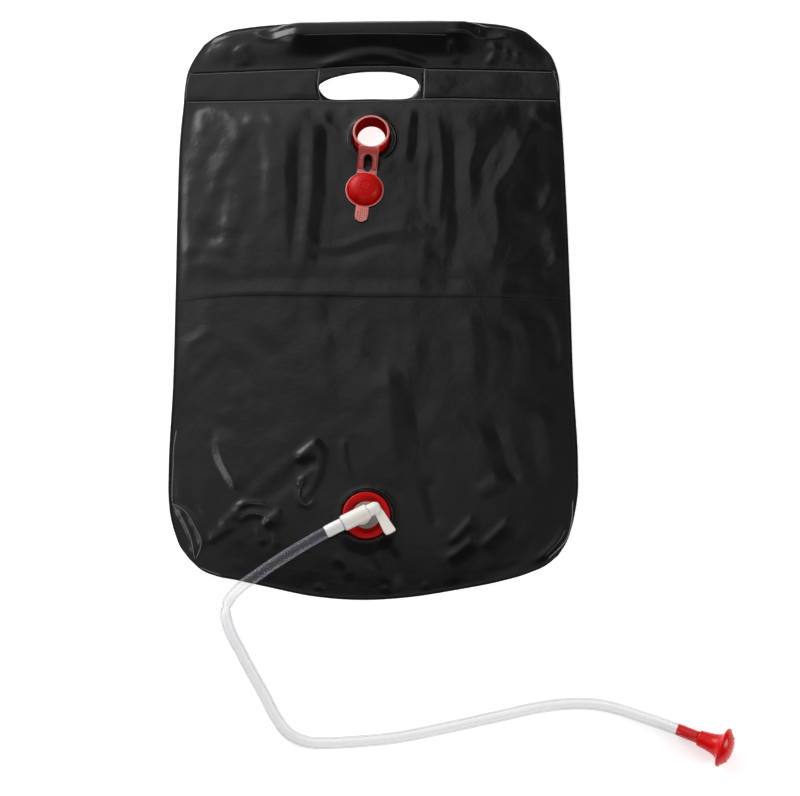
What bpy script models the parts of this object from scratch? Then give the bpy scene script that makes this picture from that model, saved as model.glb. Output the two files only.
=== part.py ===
"""A camp shower bag, lying flat: two welded films, a rigid handle tube, a red filler with its tethered cap, a red
outlet with a white lever tap, a clear hose and a red shower rose.

Metres, +Z up. The bag lies on z = 0 with its back down, +Y runs towards the handle, and the origin is under the
middle of the bag. Run it with: blender --background --python part.py
"""

import math

import bmesh
import bpy
import numpy as np
from mathutils import Matrix, Vector

MM = 0.001

# Clearances, films and welds
GAP = 0.3 * MM
OVERRUN = 4.0 * MM
FILM = 0.5 * MM
WELD_WIDTH = 5.0 * MM
PUFF = 8.0 * MM

# The bag's outline
BAG_WIDTH = 397.0 * MM
BAG_LENGTH = 620.0 * MM
CORNER_X_SHARE = 0.885
TOP_CORNER_SHARE = 0.915
BOTTOM_CORNER_SHARE = -0.868
# Along the length: the place, the left edge and the right edge, as shares of the half length and half width.
SIDE_SHARES = (
    (-0.868, -0.885, 0.885),
    (-0.830, -0.930, 0.925),
    (-0.780, -0.962, 0.956),
    (-0.730, -0.984, 0.976),
    (-0.670, -0.996, 0.993),
    (-0.580, -1.000, 1.000),
    (-0.300, -0.992, 0.995),
    (0.000, -0.994, 0.999),
    (0.300, -0.998, 1.000),
    (0.580, -0.995, 0.996),
    (0.690, -0.984, 0.991),
    (0.760, -0.978, 0.990),
    (0.815, -0.965, 0.978),
    (0.870, -0.928, 0.945),
    (0.915, -0.885, 0.885),
)
# Along the width: the place, the bottom edge and the top edge, as shares of the half width and half length.
END_SHARES = (
    (-0.885, -0.868, 0.915),
    (-0.830, -0.900, 0.944),
    (-0.760, -0.920, 0.966),
    (-0.660, -0.934, 0.979),
    (-0.500, -0.958, 0.990),
    (-0.300, -0.986, 0.998),
    (-0.050, -1.000, 1.000),
    (0.150, -0.994, 1.000),
    (0.400, -0.971, 0.999),
    (0.600, -0.947, 0.989),
    (0.740, -0.922, 0.974),
    (0.830, -0.896, 0.950),
    (0.885, -0.868, 0.915),
)
OUTLINE_X_STEPS = 24
OUTLINE_Y_STEPS = 30
SIDE_SLOPE = 42.0 * MM
TOP_SLOPE = 30.0 * MM

# The welded band and its grip hole
HEAD_HEIGHT = 93.5 * MM
BAND_HEIGHT = 34.5 * MM
HOLE_WIDTH = 104.0 * MM
HOLE_HEIGHT = 32.0 * MM
HOLE_X = -2.5 * MM
# Round the hole from its right end, as shares of its half width and half height.
HOLE_SHARES = (
    (1.00, 0.00),
    (0.93, 0.42),
    (0.77, 0.68),
    (0.50, 0.94),
    (0.20, 1.00),
    (-0.10, 0.98),
    (-0.41, 0.86),
    (-0.75, 0.55),
    (-0.94, 0.22),
    (-1.00, -0.06),
    (-0.97, -0.40),
    (-0.88, -0.76),
    (-0.74, -0.96),
    (-0.45, -1.00),
    (0.00, -0.97),
    (0.50, -1.00),
    (0.80, -0.93),
    (0.93, -0.60),
    (0.99, -0.28),
)
HOLE_POINTS = 48

# The handle tube in its sleeve
TUBE_LENGTH = 162.0 * MM
TUBE_RADIUS = 5.3 * MM
TUBE_BORE = 3.9 * MM
TUBE_X = 8.5 * MM
TUBE_ROOM = 1.1 * MM
TUBE_EDGE = 4.2 * MM
EDGE_FALL = 1.3 * MM
SLEEVE_END = 40.0 * MM
TUBE_STEPS = 20
# Where the film's rows lie on the outer side of the tube, as shares of a right angle from its top.
WRAP_SHARES = (0.24, 0.49, 0.73, 1.00)

# The filler: a flange under the film, a neck, and a cap on a strap
FITTING_FLANGE = 1.5 * MM
NECK_X = 0.0 * MM
NECK_DROP = 47.5 * MM
NECK_HEIGHT = 17.5 * MM
NECK_RADIUS = 17.8 * MM
NECK_FLANGE_RADIUS = 23.5 * MM
RIM_RADIUS = 18.9 * MM
RIM_HEIGHT = 2.4 * MM
RIM_ROUND = 0.8 * MM
BORE_TOP_RADIUS = 16.5 * MM
BORE_FOOT_RADIUS = 14.2 * MM
FILM_EDGE = 0.5 * MM
PAD_EXTRA = 9.5 * MM
PAD_SLOPE = 13.0 * MM
CAP_REACH = 58.9 * MM
CAP_LEAN = math.radians(7.0)
CAP_RADIUS = 19.4 * MM
CAP_THICK = 1.8 * MM
PLUG_RADIUS = 15.7 * MM
PLUG_HEIGHT = 12.3 * MM
# The plug's side and dome, as shares of its radius and height.
PLUG_SHARES = (
    (0.32, 0.98),
    (0.60, 0.90),
    (0.81, 0.74),
    (0.91, 0.53),
    (0.95, 0.33),
    (0.975, 0.16),
    (1.00, 0.00),
)
STRAP_WIDTH = 20.3 * MM
STRAP_HALF = 11.5 * MM
STRAP_SINK = 4.0 * MM
STRAP_INSET = 0.1 * MM
STRAP_STEPS = 8
SLOT_WIDTH = 8.6 * MM
SLOT_UP = 5.5 * MM
SLOT_DOWN = 9.5 * MM
TAB_WIDTH = 13.1 * MM
TAB_LENGTH = 16.0 * MM
TAB_THICK = 1.5 * MM
ROUND_STEPS = 40

# The outlet seat and the tap
OUTLET_X = -7.0 * MM
OUTLET_RISE = 80.2 * MM
SEAT_FLANGE_RADIUS = 26.3 * MM
SEAT_RADIUS = 22.6 * MM
SEAT_TOP = 13.2 * MM
SEAT_FLOOR = 9.2 * MM
SEAT_LIP = 3.2 * MM
SEAT_DISH = 8.0 * MM
SEAT_BORE = 11.3 * MM
SEAT_ROUND = 0.8 * MM
WASHER_RADIUS = 13.0 * MM
WASHER_THICK = 0.8 * MM
BASE_RADIUS = 13.2 * MM
BASE_THICK = 1.6 * MM
PLUG_FOOT = 4.0 * MM
PLUG_CLEAR = 0.4 * MM
STEM_X = -4.6 * MM
STEM_RADIUS = 6.4 * MM
INLET_RADIUS = 2.8 * MM
TAP_TURN = math.radians(26.4)
BARREL_Z = 22.0 * MM
BARREL_RADIUS = 7.65 * MM
BARREL_BACK = 24.8 * MM
BARREL_FRONT = 2.0 * MM
BARREL_EDGE = 0.6 * MM
SPIGOT_LENGTH = 16.5 * MM
SPIGOT_RADIUS = 3.9 * MM
SPIGOT_BARB = 0.3 * MM
SPIGOT_TIP = 3.0 * MM
SPIGOT_BORE = 2.6 * MM
CORE_RADIUS = 5.0 * MM
CORE_BACK = 12.6 * MM
CORE_BORE = 2.8 * MM
GROOVE_DEPTH = 1.0 * MM
GROOVE_WIDTH = 1.6 * MM
INNER_GROOVE_X = -9.6 * MM
OUTER_GROOVE_X = 0.3 * MM
SEAL_SECTION = 0.5 * MM
HUB_RADIUS = 6.0 * MM
HUB_LENGTH = 12.3 * MM
# The hub's rounded end, as shares of its radius and length.
HUB_SHARES = ((0.00, 1.00), (0.45, 0.96), (0.80, 0.83), (0.97, 0.62))
LEVER_LENGTH = 28.8 * MM
LEVER_ROOT = 7.4 * MM
LEVER_TIP = 11.4 * MM
LEVER_THICK = 3.0 * MM
LEVER_ROUND = 2.0 * MM
LEVER_X = 10.6 * MM
LEVER_DRIFT = 1.4 * MM
TAP_STEPS = 28

# The hose and the rose
HOSE_RADIUS = 5.5 * MM
SOCKET_ROOM = 0.3 * MM
HOSE_POINTS = 60
# The middle of the hose from the tap to the rose: metres right of, above and over the outlet's middle.
HOSE_ROUTE = (
    (-0.0225, -0.0112, 0.0220),
    (-0.0302, -0.0150, 0.0220),
    (-0.0379, -0.0190, 0.0219),
    (-0.0578, -0.0297, 0.0196),
    (-0.0819, -0.0432, 0.0139),
    (-0.1037, -0.0570, 0.0092),
    (-0.1200, -0.0687, 0.0068),
    (-0.1296, -0.0794, 0.0059),
    (-0.1330, -0.0902, 0.0056),
    (-0.1305, -0.1037, 0.0056),
    (-0.1160, -0.1327, 0.0056),
    (-0.0956, -0.1692, 0.0056),
    (-0.0835, -0.1912, 0.0056),
    (-0.0730, -0.2042, 0.0056),
    (-0.0570, -0.2120, 0.0056),
    (-0.0343, -0.2137, 0.0056),
    (-0.0160, -0.2130, 0.0056),
    (0.0300, -0.2090, 0.0056),
    (0.0762, -0.2003, 0.0056),
    (0.1226, -0.1908, 0.0056),
    (0.1598, -0.1832, 0.0056),
    (0.1914, -0.1801, 0.0056),
    (0.2154, -0.1816, 0.0056),
    (0.2345, -0.1862, 0.0056),
    (0.2519, -0.1924, 0.0056),
    (0.2682, -0.1980, 0.0056),
    (0.2790, -0.2020, 0.0058),
    (0.2892, -0.2063, 0.0072),
    (0.2963, -0.2097, 0.0093),
    (0.3035, -0.2130, 0.0115),
)
ROSE_START = (0.2892, -0.2063, 0.00724)
ROSE_TURN = math.radians(-25.2)
ROSE_RISE = math.radians(15.1)
ROSE_COLLAR = 16.6 * MM
ROSE_LENGTH = 42.0 * MM
ROSE_RADIUS = 18.35 * MM
COLLAR_RADIUS = 7.25 * MM
# The trumpet from its rim back to the collar: shares of the rim's radius beyond the collar's, and of the length
# between collar and rim.
TRUMPET_SHARES = (
    (0.96, 1.00),
    (1.00, 0.96),
    (0.97, 0.89),
    (0.74, 0.865),
    (0.45, 0.81),
    (0.27, 0.69),
    (0.16, 0.53),
    (0.085, 0.33),
    (0.02, 0.10),
    (0.00, 0.00),
)
# The inside, from the collar's end of the bore out to the ledge of the face, in the same shares.
TRUMPET_BORE_SHARES = (
    (-0.25, 0.20),
    (-0.07, 0.52),
    (0.09, 0.73),
    (0.30, 0.86),
    (0.70, 0.93),
)
FACE_SEAT = 1.5 * MM
FACE_LIP = 0.9 * MM
FACE_THICK = 1.6 * MM
FACE_RISE = 7.4 * MM
# The face's dome, as shares of its radius and rise.
FACE_SHARES = ((0.00, 1.00), (0.30, 0.955), (0.57, 0.80), (0.80, 0.50), (0.95, 0.16))
JET_RADIUS = 0.6 * MM
JET_PITCH = 3.7 * MM
JET_RING_COUNT = 3
RING_JET_COUNT = 6
JET_SIDE_COUNT = 6

# Worked out from the sizes above
LOWER_WELD_Y = BAG_LENGTH / 2 - HEAD_HEIGHT
NECK_Y = LOWER_WELD_Y - NECK_DROP
OUTLET_Y = OUTLET_RISE - BAG_LENGTH / 2
WELD_Z = FILM + GAP
PANEL_IN = WELD_Z + PUFF
PANEL_TOP = PANEL_IN + FILM
FLANGE_TOP = PANEL_IN - GAP
FLANGE_FOOT = FLANGE_TOP - FITTING_FLANGE
UPPER_WELD_Y = LOWER_WELD_Y + BAND_HEIGHT
HOLE_Y = LOWER_WELD_Y + BAND_HEIGHT / 2
TUBE_Z = WELD_Z + TUBE_RADIUS
SLEEVE_RADIUS = TUBE_RADIUS + TUBE_ROOM
TUBE_Y = BAG_LENGTH / 2 - TUBE_EDGE - GAP - SLEEVE_RADIUS
SLEEVE_LIFT = TUBE_Z + SLEEVE_RADIUS - WELD_Z
RIM_Z = FLANGE_FOOT + NECK_HEIGHT
CAP_FOOT = PANEL_TOP + GAP
CAP_FACE = CAP_FOOT + CAP_THICK
STRAP_MIDDLE = (RIM_Z + CAP_FACE) / 2
HINGE_Z = STRAP_MIDDLE + GAP / 2
HINGE_X = NECK_X - CAP_REACH / 2 * math.sin(CAP_LEAN)
HINGE_Y = NECK_Y - CAP_REACH / 2 * math.cos(CAP_LEAN)
BASE_FOOT = SEAT_FLOOR + GAP + WASHER_THICK + GAP
BASE_TOP = BASE_FOOT + BASE_THICK
HUB_START = BARREL_FRONT + GAP
SEAL_RADIUS = CORE_RADIUS - GROOVE_DEPTH + SEAL_SECTION + (GROOVE_DEPTH + GAP - 2 * SEAL_SECTION) / 2
FACE_RADIUS = ROSE_RADIUS - FACE_LIP - GAP


def clear_scene():
    """Removes the objects of the startup scene."""
    for thing in list(bpy.data.objects):
        bpy.data.objects.remove(thing, do_unlink=True)


def new_collection(name):
    """Makes a collection in the scene."""
    made = bpy.data.collections.new(name)
    bpy.context.scene.collection.children.link(made)
    return made


def material(name, colour, roughness, alpha=1.0):
    """Makes a plain plastic material."""
    made = bpy.data.materials.new(name)
    made.use_nodes = True
    shader = made.node_tree.nodes["Principled BSDF"]
    shader.inputs["Base Color"].default_value = (*colour, 1.0)
    shader.inputs["Roughness"].default_value = roughness
    shader.inputs["Metallic"].default_value = 0.0
    shader.inputs["Alpha"].default_value = alpha
    return made


def add_object(name, mesh, finish=None, parent=None):
    """Links a mesh as a part, or as a cutter when it has no finish."""
    made = bpy.data.objects.new(name, mesh)
    if finish is None:
        CUTTERS.objects.link(made)
        made.hide_render = True
        made.display_type = "WIRE"
    else:
        PARTS.objects.link(made)
        mesh.materials.append(finish)
    made.parent = parent
    return made


def add_empty(name, place, parent=None, turn=(0.0, 0.0, 0.0)):
    """Adds an empty that carries the pieces of one fitting."""
    made = bpy.data.objects.new(name, None)
    PARTS.objects.link(made)
    made.location = place
    made.rotation_euler = turn
    made.parent = parent
    return made


def turned(name, profile, steps, finish=None, parent=None, closed=False):
    """Turns a profile of (radius, height) points about Z. The points run down the outer side."""
    mesh = bpy.data.meshes.new(name)
    points = [(radius, 0.0, height) for radius, height in profile]
    edges = [(i, i + 1) for i in range(len(points) - 1)]
    if closed:
        edges.append((len(points) - 1, 0))
    mesh.from_pydata(points, edges, [])
    made = add_object(name, mesh, finish, parent)
    screw = made.modifiers.new("turn", "SCREW")
    screw.steps = steps
    screw.render_steps = steps
    screw.use_merge_vertices = True
    screw.merge_threshold = 0.00001
    screw.use_smooth_shade = True
    return made


def cylinder(name, radius, low, high, steps, parent=None, top_radius=None):
    """A cutter along Z from low to high, a cone when it has a top radius."""
    mesh = bpy.data.meshes.new(name)
    build = bmesh.new()
    bmesh.ops.create_cone(
        build,
        cap_ends=True,
        segments=steps,
        radius1=radius,
        radius2=radius if top_radius is None else top_radius,
        depth=high - low,
        matrix=Matrix.Translation((0.0, 0.0, (low + high) / 2)),
    )
    build.to_mesh(mesh)
    build.free()
    return add_object(name, mesh, None, parent)


def slab(name, outline, low, high, finish=None, parent=None):
    """A flat outline of (x, y) points as a solid from low to high."""
    curve = bpy.data.curves.new(name, "CURVE")
    curve.dimensions = "2D"
    curve.fill_mode = "BOTH"
    curve.extrude = (high - low) / 2
    spline = curve.splines.new("POLY")
    spline.points.add(len(outline) - 1)
    for point, (x, y) in zip(spline.points, outline):
        point.co = (x, y, 0.0, 1.0)
    spline.use_cyclic_u = True
    made = as_mesh(name, curve, finish, parent)
    made.data.transform(Matrix.Translation((0.0, 0.0, (low + high) / 2)))
    return made


def as_mesh(name, curve, finish=None, parent=None):
    """Turns a curve into a closed mesh object and removes the curve."""
    drawn = bpy.data.objects.new(name + "_curve", curve)
    bpy.context.scene.collection.objects.link(drawn)
    graph = bpy.context.evaluated_depsgraph_get()
    mesh = bpy.data.meshes.new_from_object(drawn.evaluated_get(graph))
    bpy.data.objects.remove(drawn, do_unlink=True)
    build = bmesh.new()
    build.from_mesh(mesh)
    bmesh.ops.remove_doubles(build, verts=build.verts, dist=0.000001)
    bmesh.ops.recalc_face_normals(build, faces=build.faces)
    build.to_mesh(mesh)
    build.free()
    mesh.materials.clear()
    return add_object(name, mesh, finish, parent)


def combine(target, tool, operation):
    """Cuts a tool out of a part, or joins it on."""
    boolean = target.modifiers.new(operation.lower() + "_" + tool.name, "BOOLEAN")
    boolean.operation = operation
    boolean.object = tool
    boolean.solver = "EXACT"


def ease(share):
    """Rises smoothly from 0 to 1."""
    share = min(1.0, max(0.0, share))
    return share * share * (3.0 - 2.0 * share)


def smooth_through(stations, values, at):
    """Reads a smooth curve through values at rising stations."""
    slopes = np.gradient(np.array(values), np.array(stations))
    i = int(np.clip(np.searchsorted(stations, at) - 1, 0, len(stations) - 2))
    span = stations[i + 1] - stations[i]
    t = (at - stations[i]) / span
    start = values[i] * (2 * t**3 - 3 * t**2 + 1) + slopes[i] * span * (t**3 - 2 * t**2 + t)
    end = values[i + 1] * (3 * t**2 - 2 * t**3) + slopes[i + 1] * span * (t**3 - t**2)
    return float(start + end)


def column(table, i):
    return [row[i] for row in table]


def side_edges(y):
    """The left and right edges of the bag at a height along it."""
    share = 2 * y / BAG_LENGTH
    return [smooth_through(column(SIDE_SHARES, 0), column(SIDE_SHARES, k), share) * BAG_WIDTH / 2 for k in (1, 2)]


def end_edges(x):
    """The bottom and top edges of the bag at a place across it."""
    share = 2 * x / BAG_WIDTH
    return [smooth_through(column(END_SHARES, 0), column(END_SHARES, k), share) * BAG_LENGTH / 2 for k in (1, 2)]


def bag_point(across, along):
    """A point of the flat bag, from shares of 0 to 1 across and along it."""
    half_x = CORNER_X_SHARE * BAG_WIDTH / 2
    low_y = BOTTOM_CORNER_SHARE * BAG_LENGTH / 2
    high_y = TOP_CORNER_SHARE * BAG_LENGTH / 2
    left, right = side_edges(low_y + (high_y - low_y) * along)
    bottom, top = end_edges(-half_x + 2 * half_x * across)
    return left + (right - left) * across, bottom + (top - bottom) * along


def bag_outline(steps_x, steps_y):
    """Points round the bag's edge, anticlockwise from the bottom left corner."""
    bottom = [bag_point(i / steps_x, 0.0) for i in range(steps_x)]
    right = [bag_point(1.0, i / steps_y) for i in range(steps_y)]
    top = [bag_point(1.0 - i / steps_x, 1.0) for i in range(steps_x)]
    left = [bag_point(0.0, 1.0 - i / steps_y) for i in range(steps_y)]
    return bottom + right + top + left


def hole_outline():
    """The grip hole's smooth outline."""
    turns = len(HOLE_SHARES)
    laps = [i for i in range(-3, turns + 4)]
    xs = [HOLE_SHARES[i % turns][0] * HOLE_WIDTH / 2 for i in laps]
    ys = [HOLE_SHARES[i % turns][1] * HOLE_HEIGHT / 2 for i in laps]
    points = []
    for i in range(HOLE_POINTS):
        at = turns * i / HOLE_POINTS
        points.append((HOLE_X + smooth_through(laps, xs, at), HOLE_Y + smooth_through(laps, ys, at)))
    return points


def pad(x, y, centre_x, centre_y, flange):
    """How far the film is lifted by a fitting's flange, from 0 to 1."""
    away = math.hypot(x - centre_x, y - centre_y) - flange - PAD_EXTRA
    return 1.0 - ease(away / PAD_SLOPE)


def panel_lift(x, y):
    """How high the front film's inner face stands over the weld at a place below the sleeve."""
    left, right = side_edges(y)
    bottom = end_edges(x)[0]
    side = ease((min(x - left, right - x) - WELD_WIDTH) / SIDE_SLOPE)
    foot = ease((y - bottom - WELD_WIDTH) / SIDE_SLOPE)
    head = ease((LOWER_WELD_Y - WELD_WIDTH / 2 - y) / TOP_SLOPE)
    filler = pad(x, y, NECK_X, NECK_Y, NECK_FLANGE_RADIUS)
    outlet = pad(x, y, OUTLET_X, OUTLET_Y, SEAT_FLANGE_RADIUS)
    return PUFF * max(side * foot * head, filler, outlet)


def sleeve_share(x):
    """1 over the handle tube, and 0 past the ends of its bulge."""
    return 1.0 - ease((abs(x - TUBE_X) - TUBE_LENGTH / 2 - TUBE_ROOM) / SLEEVE_END)


def panel_stations():
    """Places of the front film's rows (along) and columns (across), from 0 to 1, closer where it bends."""
    cell = NECK_FLANGE_RADIUS / 2.2
    near = [k * cell for k in range(4)] + [3.5 * cell + WELD_WIDTH]
    edge = [0.0, WELD_WIDTH] + [WELD_WIDTH + SIDE_SLOPE * k for k in (0.25, 0.5, 0.75, 1.1)]
    half = BAG_WIDTH / 2
    bulge = TUBE_LENGTH / 2 + TUBE_ROOM
    tube = [(TUBE_X + side * (bulge + out)) / CORNER_X_SHARE for side in (-1, 1) for out in (0.0, SLEEVE_END / 2)]
    columns = [-half + e for e in edge] + [half - e for e in edge] + near + [-n for n in near[1:]] + tube
    columns.sort()
    end = BAG_LENGTH / 2
    rows = [-end + e for e in edge[:5]]
    rows += [OUTLET_Y + cell * k for k in (-2, -1, 0, 1, 2, 3.2, 5.5)]
    middle = (OUTLET_Y + NECK_Y) / 2
    rows += [middle - BAG_WIDTH / 5, middle, middle + BAG_WIDTH / 5]
    rows += [NECK_Y + cell * k for k in (-5, -3, -2, -1, 0, 1, 2, 3)]
    rows += [LOWER_WELD_Y - WELD_WIDTH / 2, LOWER_WELD_Y + WELD_WIDTH / 2, HOLE_Y]
    rows += [UPPER_WELD_Y - WELD_WIDTH / 2, UPPER_WELD_Y + WELD_WIDTH / 2]
    rows += [UPPER_WELD_Y + (TUBE_Y - UPPER_WELD_Y) * k for k in (0.3, 0.55, 0.8)]
    rows += [TUBE_Y + SLEEVE_RADIUS * k for k in (-0.6, 0.0)]
    return [(c + half) / BAG_WIDTH for c in columns], [(r + end) / BAG_LENGTH for r in rows]


def front_film():
    """The film's inner face as a shaped grid, thickened upwards."""
    columns, rows = panel_stations()
    wall = [(math.sin(share * math.pi / 2), math.cos(share * math.pi / 2)) for share in WRAP_SHARES]
    count_x = len(columns)
    count_y = len(rows) + len(wall) + 2
    build = bmesh.new()
    bmesh.ops.create_grid(build, x_segments=count_x - 1, y_segments=count_y - 1, size=1.0)
    top = end_edges(TUBE_X)[1]
    for vertex in build.verts:
        i = round((vertex.co.x + 1.0) / 2.0 * (count_x - 1))
        j = round((vertex.co.y + 1.0) / 2.0 * (count_y - 1))
        if j < len(rows):
            x, y = bag_point(columns[i], rows[j])
            rise = ease((y - UPPER_WELD_Y - WELD_WIDTH / 2) / (TUBE_Y - UPPER_WELD_Y - WELD_WIDTH / 2))
            lift = panel_lift(x, y) if y < LOWER_WELD_Y else SLEEVE_LIFT * rise * sleeve_share(x)
        else:
            k = j - len(rows)
            reach, height = wall[k] if k < len(wall) else (1.0, 0.0)
            end_x, end_y = bag_point(columns[i], 1.0)
            fall = min(EDGE_FALL, max(0.0, top - end_y))
            below = top - TUBE_Y - SLEEVE_RADIUS * reach - fall
            lift = (TUBE_Z - WELD_Z + SLEEVE_RADIUS * height) * sleeve_share(end_x)
            if k == len(wall):
                below = TUBE_EDGE - fall
                lift = 0.0
            if k > len(wall):
                below = 0.0
                lift = 0.0
            x, y = bag_point(columns[i], 1.0 - below / BAG_LENGTH)
        vertex.co = (x, y, WELD_Z + lift)
    mesh = bpy.data.meshes.new("front_panel")
    build.to_mesh(mesh)
    build.free()
    made = add_object("front_panel", mesh, BLACK_FILM)
    solid = made.modifiers.new("film", "SOLIDIFY")
    solid.thickness = FILM
    solid.offset = 1.0
    solid.use_even_offset = True
    return made


def make_bag():
    """The two films, with their holes."""
    front = front_film()
    back = slab("back_panel", bag_outline(OUTLINE_X_STEPS, OUTLINE_Y_STEPS), 0.0, FILM, WHITE_FILM)
    grip = slab("grip_cutter", hole_outline(), -OVERRUN, PANEL_TOP)
    combine(front, grip, "DIFFERENCE")
    combine(back, grip, "DIFFERENCE")
    filler = cylinder("filler_cutter", NECK_RADIUS + FILM_EDGE, WELD_Z, PANEL_TOP + OVERRUN, ROUND_STEPS)
    filler.location = (NECK_X, NECK_Y, 0.0)
    outlet = cylinder("outlet_cutter", SEAT_RADIUS + FILM_EDGE, WELD_Z, PANEL_TOP + OVERRUN, ROUND_STEPS)
    outlet.location = (OUTLET_X, OUTLET_Y, 0.0)
    combine(front, filler, "DIFFERENCE")
    combine(front, outlet, "DIFFERENCE")


def make_handle_tube():
    """The rigid tube that the hanging line goes through."""
    half = TUBE_LENGTH / 2
    profile = [(TUBE_RADIUS, half), (TUBE_RADIUS, -half), (TUBE_BORE, -half), (TUBE_BORE, half)]
    tube = turned("handle_tube", profile, TUBE_STEPS, GREY_PLASTIC, closed=True)
    tube.location = (TUBE_X, TUBE_Y, TUBE_Z)
    tube.rotation_euler = (0.0, math.pi / 2, 0.0)


def strap_outline(start, end):
    """The strap's side view from start to end along it, with an S between the rim and the cap's face."""
    top = []
    for i in range(STRAP_STEPS + 1):
        y = start + (end - start) * i / STRAP_STEPS
        t = min(1.0, max(-1.0, y / STRAP_HALF))
        top.append((y, STRAP_MIDDLE - STRAP_INSET + (RIM_Z - CAP_FACE) / 2 * t * (3 - t * t) / 2))
    return top + [(y, z - CAP_THICK + 2 * STRAP_INSET) for y, z in reversed(top)]


def strap(name, start, end, parent):
    """One half of the strap, made on edge and turned upright. Its outline lies in the plane of length and height."""
    made = slab(name, strap_outline(start, end), -STRAP_WIDTH / 2, STRAP_WIDTH / 2, None, parent)
    made.data.transform(Matrix(((0, 0, 1, 0), (1, 0, 0, 0), (0, 1, 0, 0), (0, 0, 0, 1))))
    return made


def stadium(low_y, high_y, radius, steps):
    """A slot's outline with round ends."""
    points = []
    for centre, start in ((high_y - radius, 0.0), (low_y + radius, math.pi)):
        for i in range(steps + 1):
            angle = start + math.pi * i / steps
            points.append((radius * math.cos(angle), centre + radius * math.sin(angle)))
    return points


def make_filler():
    """The neck with the inner half of the strap, and the cap with the outer half. +Y runs from cap to neck."""
    stand = add_empty("filler_stand", (HINGE_X, HINGE_Y, 0.0), turn=(0.0, 0.0, -CAP_LEAN))
    profile = [
        (0.0, RIM_Z),
        (RIM_RADIUS - RIM_ROUND, RIM_Z),
        (RIM_RADIUS, RIM_Z - RIM_ROUND),
        (RIM_RADIUS, RIM_Z - RIM_HEIGHT),
        (NECK_RADIUS, RIM_Z - RIM_HEIGHT - (RIM_RADIUS - NECK_RADIUS)),
        (NECK_RADIUS, FLANGE_TOP),
        (NECK_FLANGE_RADIUS, FLANGE_TOP),
        (NECK_FLANGE_RADIUS, FLANGE_FOOT),
        (0.0, FLANGE_FOOT),
    ]
    neck = turned("filler_neck", profile, ROUND_STEPS, RED_SOFT, stand)
    neck.location = (0.0, CAP_REACH / 2, 0.0)
    inner = strap("inner_strap", GAP / 2, STRAP_HALF + STRAP_SINK, stand)
    slot = slab("slot_cutter", stadium(-SLOT_DOWN, SLOT_UP, SLOT_WIDTH / 2, 8), CAP_FOOT - OVERRUN, RIM_Z + OVERRUN)
    slot.parent = stand
    bore = cylinder("bore_cutter", BORE_FOOT_RADIUS, FLANGE_FOOT, RIM_Z, ROUND_STEPS, stand, BORE_TOP_RADIUS)
    bore.location = (0.0, CAP_REACH / 2, 0.0)
    stretch = 1.0 + 2 * GAP / NECK_HEIGHT
    bore.scale = (1.0, 1.0, stretch)
    bore.location.z = -(stretch - 1.0) * (FLANGE_FOOT + RIM_Z) / 2
    combine(neck, inner, "UNION")
    combine(neck, slot, "DIFFERENCE")
    combine(neck, bore, "DIFFERENCE")

    hinge = add_empty("cap_hinge", (0.0, 0.0, HINGE_Z), stand)
    dome = [(0.0, CAP_FACE + PLUG_HEIGHT)]
    dome += [(PLUG_RADIUS * r, CAP_FACE + PLUG_HEIGHT * h) for r, h in PLUG_SHARES]
    dome += [(CAP_RADIUS - RIM_ROUND / 2, CAP_FACE), (CAP_RADIUS, CAP_FACE - RIM_ROUND / 2)]
    dome += [(CAP_RADIUS, CAP_FOOT), (0.0, CAP_FOOT)]
    cap = turned("filler_cap", dome, ROUND_STEPS, RED_SOFT, hinge)
    cap.location = (0.0, -CAP_REACH / 2, -HINGE_Z)
    outer = strap("outer_strap", -STRAP_HALF - STRAP_SINK, -GAP / 2, stand)
    end = -CAP_REACH / 2 - CAP_RADIUS
    tab_outline = stadium(end - TAB_LENGTH, end + TAB_LENGTH, TAB_WIDTH / 2, 8)
    tab_foot = CAP_FOOT + STRAP_INSET
    tab = slab("tab_solid", tab_outline, tab_foot, tab_foot + TAB_THICK, None, stand)
    combine(cap, outer, "UNION")
    combine(cap, tab, "UNION")
    combine(cap, slot, "DIFFERENCE")


def make_outlet():
    """The red dish that is welded under the film, and the washer in it."""
    seat_place = (OUTLET_X, OUTLET_Y, 0.0)
    profile = [
        (SEAT_RADIUS - SEAT_LIP, SEAT_TOP),
        (SEAT_RADIUS - SEAT_ROUND, SEAT_TOP),
        (SEAT_RADIUS, SEAT_TOP - SEAT_ROUND),
        (SEAT_RADIUS, FLANGE_TOP),
        (SEAT_FLANGE_RADIUS, FLANGE_TOP),
        (SEAT_FLANGE_RADIUS, FLANGE_FOOT),
        (SEAT_BORE, FLANGE_FOOT),
        (SEAT_BORE, SEAT_FLOOR),
        (SEAT_RADIUS - SEAT_DISH, SEAT_FLOOR),
        (SEAT_RADIUS - SEAT_LIP - SEAT_ROUND, SEAT_TOP - SEAT_ROUND),
    ]
    seat = turned("outlet_seat", profile, ROUND_STEPS, RED_SOFT, closed=True)
    seat.location = seat_place
    low = SEAT_FLOOR + GAP
    ring = [(WASHER_RADIUS, low + WASHER_THICK), (WASHER_RADIUS, low)]
    ring += [(SEAT_BORE + GAP, low), (SEAT_BORE + GAP, low + WASHER_THICK)]
    washer = turned("base_washer", ring, TAP_STEPS, BLACK_RUBBER, closed=True)
    washer.location = seat_place


def lengthwise(thing, parent, height):
    """Lays a turned piece along the tap's barrel, with its top end at the lever."""
    thing.parent = parent
    thing.location = (0.0, 0.0, height)
    thing.rotation_euler = (0.0, math.pi / 2, 0.0)


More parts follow.
